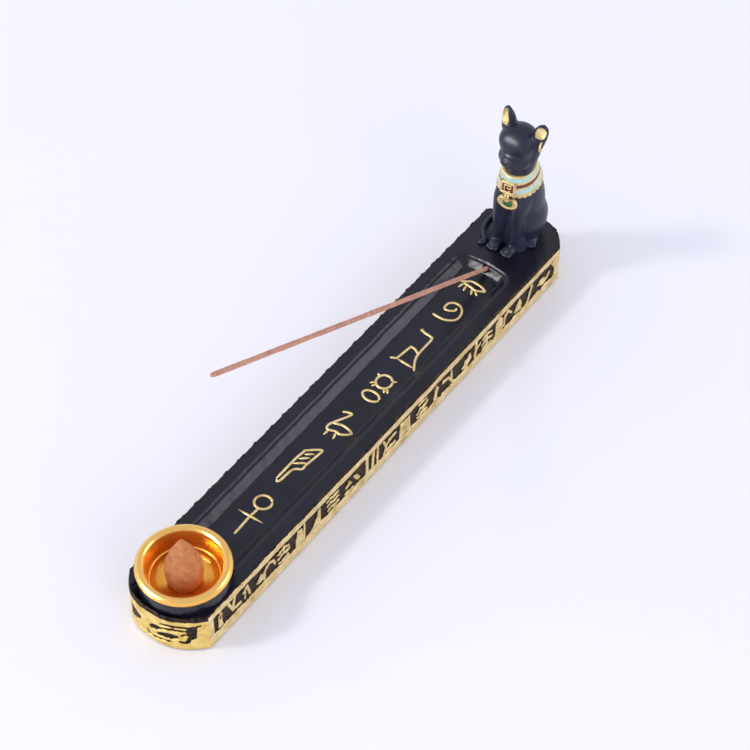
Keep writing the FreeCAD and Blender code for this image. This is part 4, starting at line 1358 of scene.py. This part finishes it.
def bevelled_box(low, high, bevel):
    """A box with broken edges."""
    work = bmesh.new()
    bmesh.ops.create_cube(work, size=1.0)
    low = Vector(low)
    high = Vector(high)
    for vert in work.verts:
        vert.co = Vector((low[k] + (vert.co[k] + 0.5) * (high[k] - low[k])) for k in range(3))
    bmesh.ops.bevel(work, geom=work.edges[:], offset=bevel, segments=2, profile=0.5, affect="EDGES")
    verts = [tuple(vert.co) for vert in work.verts]
    faces = [[vert.index for vert in face.verts] for face in work.faces]
    work.free()
    return verts, faces


# The plaque and pendant lie turned a little to the cat's left
JEWEL_TURN = Matrix.Rotation(math.radians(8.0), 3, "Z")
JEWEL_SHIFT = Vector((0.5, 0.3, 0.7))
PLAQUE_SCALE = 0.92
PANEL_SUNK = 0.22
PLAQUE_LEAN = math.radians(-6.0)
PLAQUE_BAR = 0.85
PLAQUE_BEVEL = 0.22
PLAQUE_FRONT = -0.1
PLAQUE_BACK = 2.0
PANEL_BACK = 1.8
PANEL_MARGIN = 0.6
PANEL_BEVEL = 0.1
PLAQUE_SIGN_WIDTH = 0.55
PLAQUE_SIGN_HEIGHT = 0.35
PLAQUE_SIGN = [
    [(-1.3, -1.4), (-1.3, 1.3), (1.3, 1.3), (1.3, -0.2), (0.0, -0.2), (0.0, 0.5)],
    [(1.3, -1.4), (0.3, -1.4)],
]


def hang(shape, pivot):
    """Turns a jewel about its own upright and shifts it."""
    verts, faces = shape
    pivot = Vector(pivot)
    return [JEWEL_TURN @ (Vector(point) - pivot) + pivot + JEWEL_SHIFT for point in verts], faces


def make_plaque():
    """A square gold frame round a dark red panel with one raised sign."""
    centre = (plaque_low + plaque_high) / 2
    half_w, _, half_h = (plaque_high - plaque_low) / 2 * PLAQUE_SCALE
    lean = Matrix.Rotation(PLAQUE_LEAN, 3, "X")
    pivot = Vector((centre[0], plaque_low[1] + 0.1, centre[2]))

    def place(shape):
        verts, faces = shape
        return hang(([lean @ Vector(point) + pivot for point in verts], faces), pivot)

    def bar(low, high):
        (left, bottom), (right, top) = low, high
        return bevelled_box((left, PLAQUE_FRONT, bottom), (right, PLAQUE_BACK, top), PLAQUE_BEVEL)

    gold = [
        bar((-half_w, half_h - PLAQUE_BAR), (half_w, half_h)),
        bar((-half_w, -half_h), (half_w, -half_h + PLAQUE_BAR)),
        bar((-half_w, -half_h), (-half_w + PLAQUE_BAR, half_h)),
        bar((half_w - PLAQUE_BAR, -half_h), (half_w, half_h)),
    ]
    for points in PLAQUE_SIGN:
        line = sharp_path(points, 0.25)
        verts, faces = raised_line(line, PLAQUE_SIGN_WIDTH, PLAQUE_SIGN_HEIGHT, sink=0.1, arc_steps=5)
        gold.append(([(u, PANEL_SUNK - h, v) for u, v, h in verts], faces))
    add_piece("plaque_frame", place(merge(gold)), GOLD, "gold_paint", "collar_plaque")
    inner_w = half_w - PANEL_MARGIN
    inner_h = half_h - PANEL_MARGIN
    panel = bevelled_box((-inner_w, PANEL_SUNK, -inner_h), (inner_w, PANEL_BACK, inner_h), PANEL_BEVEL)
    add_piece("plaque_panel", place(panel), RED_ENAMEL, "red_enamel")


PENDANT_STEPS = 64
PENDANT_NOTCH = 0.34
PENDANT_SECTION = [
    # share of the outline, and how far in front of the plate's face
    (0.96, -1.6), (1.0, -1.2), (1.0, -0.1), (0.96, 0.2), (0.88, 0.3), (0.80, 0.12), (0.6, 0.0),
]
BAIL_RADIUS = 0.42
KNOT_RADIUS = 0.34
STONE_NARROWING = 0.85
STONE_RINGS = 8


def notched_oval(half_w, half_h):
    """An oval outline drawn in at its top."""
    points = []
    for angle in circle(PENDANT_STEPS):
        pull = PENDANT_NOTCH * math.exp(-((angle - math.pi / 2) / 0.42) ** 2)
        points.append((half_w * math.cos(angle) * (1 - 0.3 * pull), half_h * math.sin(angle) * (1 - pull)))
    return points


def make_pendant():
    """A gold plate drawn in at its bail, with a raised rim and an oval green stone."""
    stone_low, stone_high = box_mm("pendant_stone")
    centre = (stone_low + stone_high) / 2
    face = stone_high[1]
    pivot = (0.0, face, centre[2])
    half_w = (pendant_high[0] - pendant_low[0]) / 2
    half_h = centre[2] - pendant_low[2]
    rings = []
    for share, out in PENDANT_SECTION:
        rings += [(u, face - out, centre[2] + v) for u, v in notched_oval(half_w * share, half_h * share)]
    bail_top = plaque_low[2] + 0.6
    bail_low = centre[2] + half_h * 0.55
    knot = [(0.95 * math.cos(t), face - 0.7, bail_low + 0.5 + 0.6 * math.sin(t)) for t in circle(24)]
    gold = [(rings, ring_faces(len(PENDANT_SECTION), PENDANT_STEPS)), tube(knot, KNOT_RADIUS, closed=True)]
    for side in SIDES:
        route = [
            (side * 0.5, face - 0.4, bail_low), (side * 0.55, face - 0.9, (bail_low + bail_top) / 2),
            (side * 0.5, plaque_low[1] + 0.6, bail_top),
        ]
        gold.append(tube(smooth_path(route, 6), BAIL_RADIUS))
    add_piece("pendant_plate", hang(merge(gold), pivot), GOLD, "gold_paint", "pendant")
    wide, deep, high = stone_high - stone_low
    rings = []
    for step in range(STONE_RINGS):
        lift = math.radians(90.0 * step / STONE_RINGS)
        share = math.cos(lift)
        for angle in circle(PENDANT_STEPS):
            x = share * math.cos(angle) * wide / 2 * STONE_NARROWING
            z = share * math.sin(angle) * high / 2
            rings.append((x, face - deep * math.sin(lift), centre[2] + z))
    stone = hang((rings, ring_faces(STONE_RINGS, PENDANT_STEPS)), pivot)
    add_piece("stone", stone, GREEN_STONE, "green_stone", "pendant_stone")


# The way the hoops' planes run, and how far each hangs from its place at rest
HOOP_ALONG = np.array([-0.28, 0.96, 0.0])
HOOP_SHIFT = {"left": (0.8, -1.0, 1.3), "right": (0.9, -0.6, 0.8)}
HOOP_UP = np.array([0.0, 0.0, 1.0])
HOOP_STEPS = 48
HOOP_SIDES = 14


def make_earrings():
    for name, shift in HOOP_SHIFT.items():
        node = f"earring_{name}"
        low, high = box_mm(node)
        wire = (high[0] - low[0]) / 2
        radius = (high[1] - low[1]) / 2 - wire
        centre = (low + high) / 2
        centre[2] = low[2] + wire + radius
        centre += shift
        ways = [math.sin(t) * HOOP_ALONG + math.cos(t) * HOOP_UP for t in circle(HOOP_STEPS)]
        hoop = tube([centre + radius * way for way in ways], wire, HOOP_SIDES, closed=True)
        add_piece(f"hoop_{name}", hoop, GOLD, "gold_paint", node)


# Studio

LENS_MM = 110.7
SENSOR_MM = 36.0
CAMERA_TARGET = Vector((-10.93, 25.9, 0.0)) * MM
CAMERA_AZIMUTH = math.radians(36.58)
CAMERA_ELEVATION = math.radians(49.92)
CAMERA_DISTANCE = 899.2 * MM
FLOOR_REACH = 3000.0
FLOOR_DARK = (0.85, 0.85, 0.90)
FLOOR_LIGHT = (0.865, 0.865, 0.91)
SKY_WALLS = (1.02, 1.035, 1.15)
SKY_CEILING = (0.78, 0.785, 0.885)
LIGHTS = [
    # name, place, aim, size, power, colour, and what it leaves out
    ("key", (-1.20, -1.24, 1.72), (0.0, 0.02, 0.02), 0.32, 13.0, (1.0, 0.985, 0.96), "visible_glossy"),
    ("window", (-0.52, -0.82, 0.50), (0.0, 0.02, 0.02), 0.6, 17.0, (1.0, 0.99, 0.98), "visible_diffuse"),
    ("fill", (1.30, -0.50, 0.70), (0.0, 0.02, 0.02), 1.0, 4.5, (0.95, 0.95, 1.0), "visible_glossy"),
    ("card", (0.85, 0.62, 0.55), (0.0, 0.0, 0.02), 0.7, 3.9, (0.93, 0.90, 1.0), "visible_diffuse"),
]


def make_camera():
    level = math.cos(CAMERA_ELEVATION)
    toward = Vector((
        math.sin(CAMERA_AZIMUTH) * level, -math.cos(CAMERA_AZIMUTH) * level, math.sin(CAMERA_ELEVATION)
    ))
    data = bpy.data.cameras.new("camera")
    data.lens = LENS_MM
    data.sensor_width = SENSOR_MM
    camera = add_object("camera", data)
    camera.location = CAMERA_TARGET + toward * CAMERA_DISTANCE
    camera.rotation_euler = (-toward).to_track_quat("-Z", "Y").to_euler()
    bpy.context.scene.camera = camera


def add_light(name, place, aim, size, power, colour, left_out):
    data = bpy.data.lights.new(name, "AREA")
    data.shape = "DISK"
    data.size = size
    data.energy = power
    data.color = colour
    light = add_object(name, data)
    light.location = place
    light.rotation_euler = (Vector(aim) - Vector(place)).to_track_quat("-Z", "Y").to_euler()
    setattr(light, left_out, False)


def make_studio():
    bpy.context.scene.view_settings.view_transform = "Standard"
    look = new_look("floor")
    colour = look.ramp(look.noise(3.0), (0.3, FLOOR_DARK), (0.7, FLOOR_LIGHT))
    corners = [(x * FLOOR_REACH, y * FLOOR_REACH, 0) for x, y in ((-1, -1), (1, -1), (1, 1), (-1, 1))]
    mesh = new_mesh("floor", corners, [(0, 1, 2, 3)])
    mesh.materials.append(look.finish({"Base Color": colour, "Roughness": 0.8}))
    floor = add_object("floor", mesh)
    world = bpy.data.worlds.new("studio")
    bpy.context.scene.world = world
    look = Look(world, "Background")
    height = look.height(look.place("Generated"))
    sky = look.ramp(height, (0.0, SKY_WALLS), (0.42, SKY_WALLS), (0.66, SKY_CEILING))
    look.finish({"Color": sky, "Strength": 1.0})
    for light in LIGHTS:
        add_light(*light)


make_tray()
make_seat()
trough_signs()
make_friezes()
make_cup()
make_cone()
make_stick()
make_cat()
make_collar()
make_plaque()
make_pendant()
make_earrings()
make_studio()
make_camera()
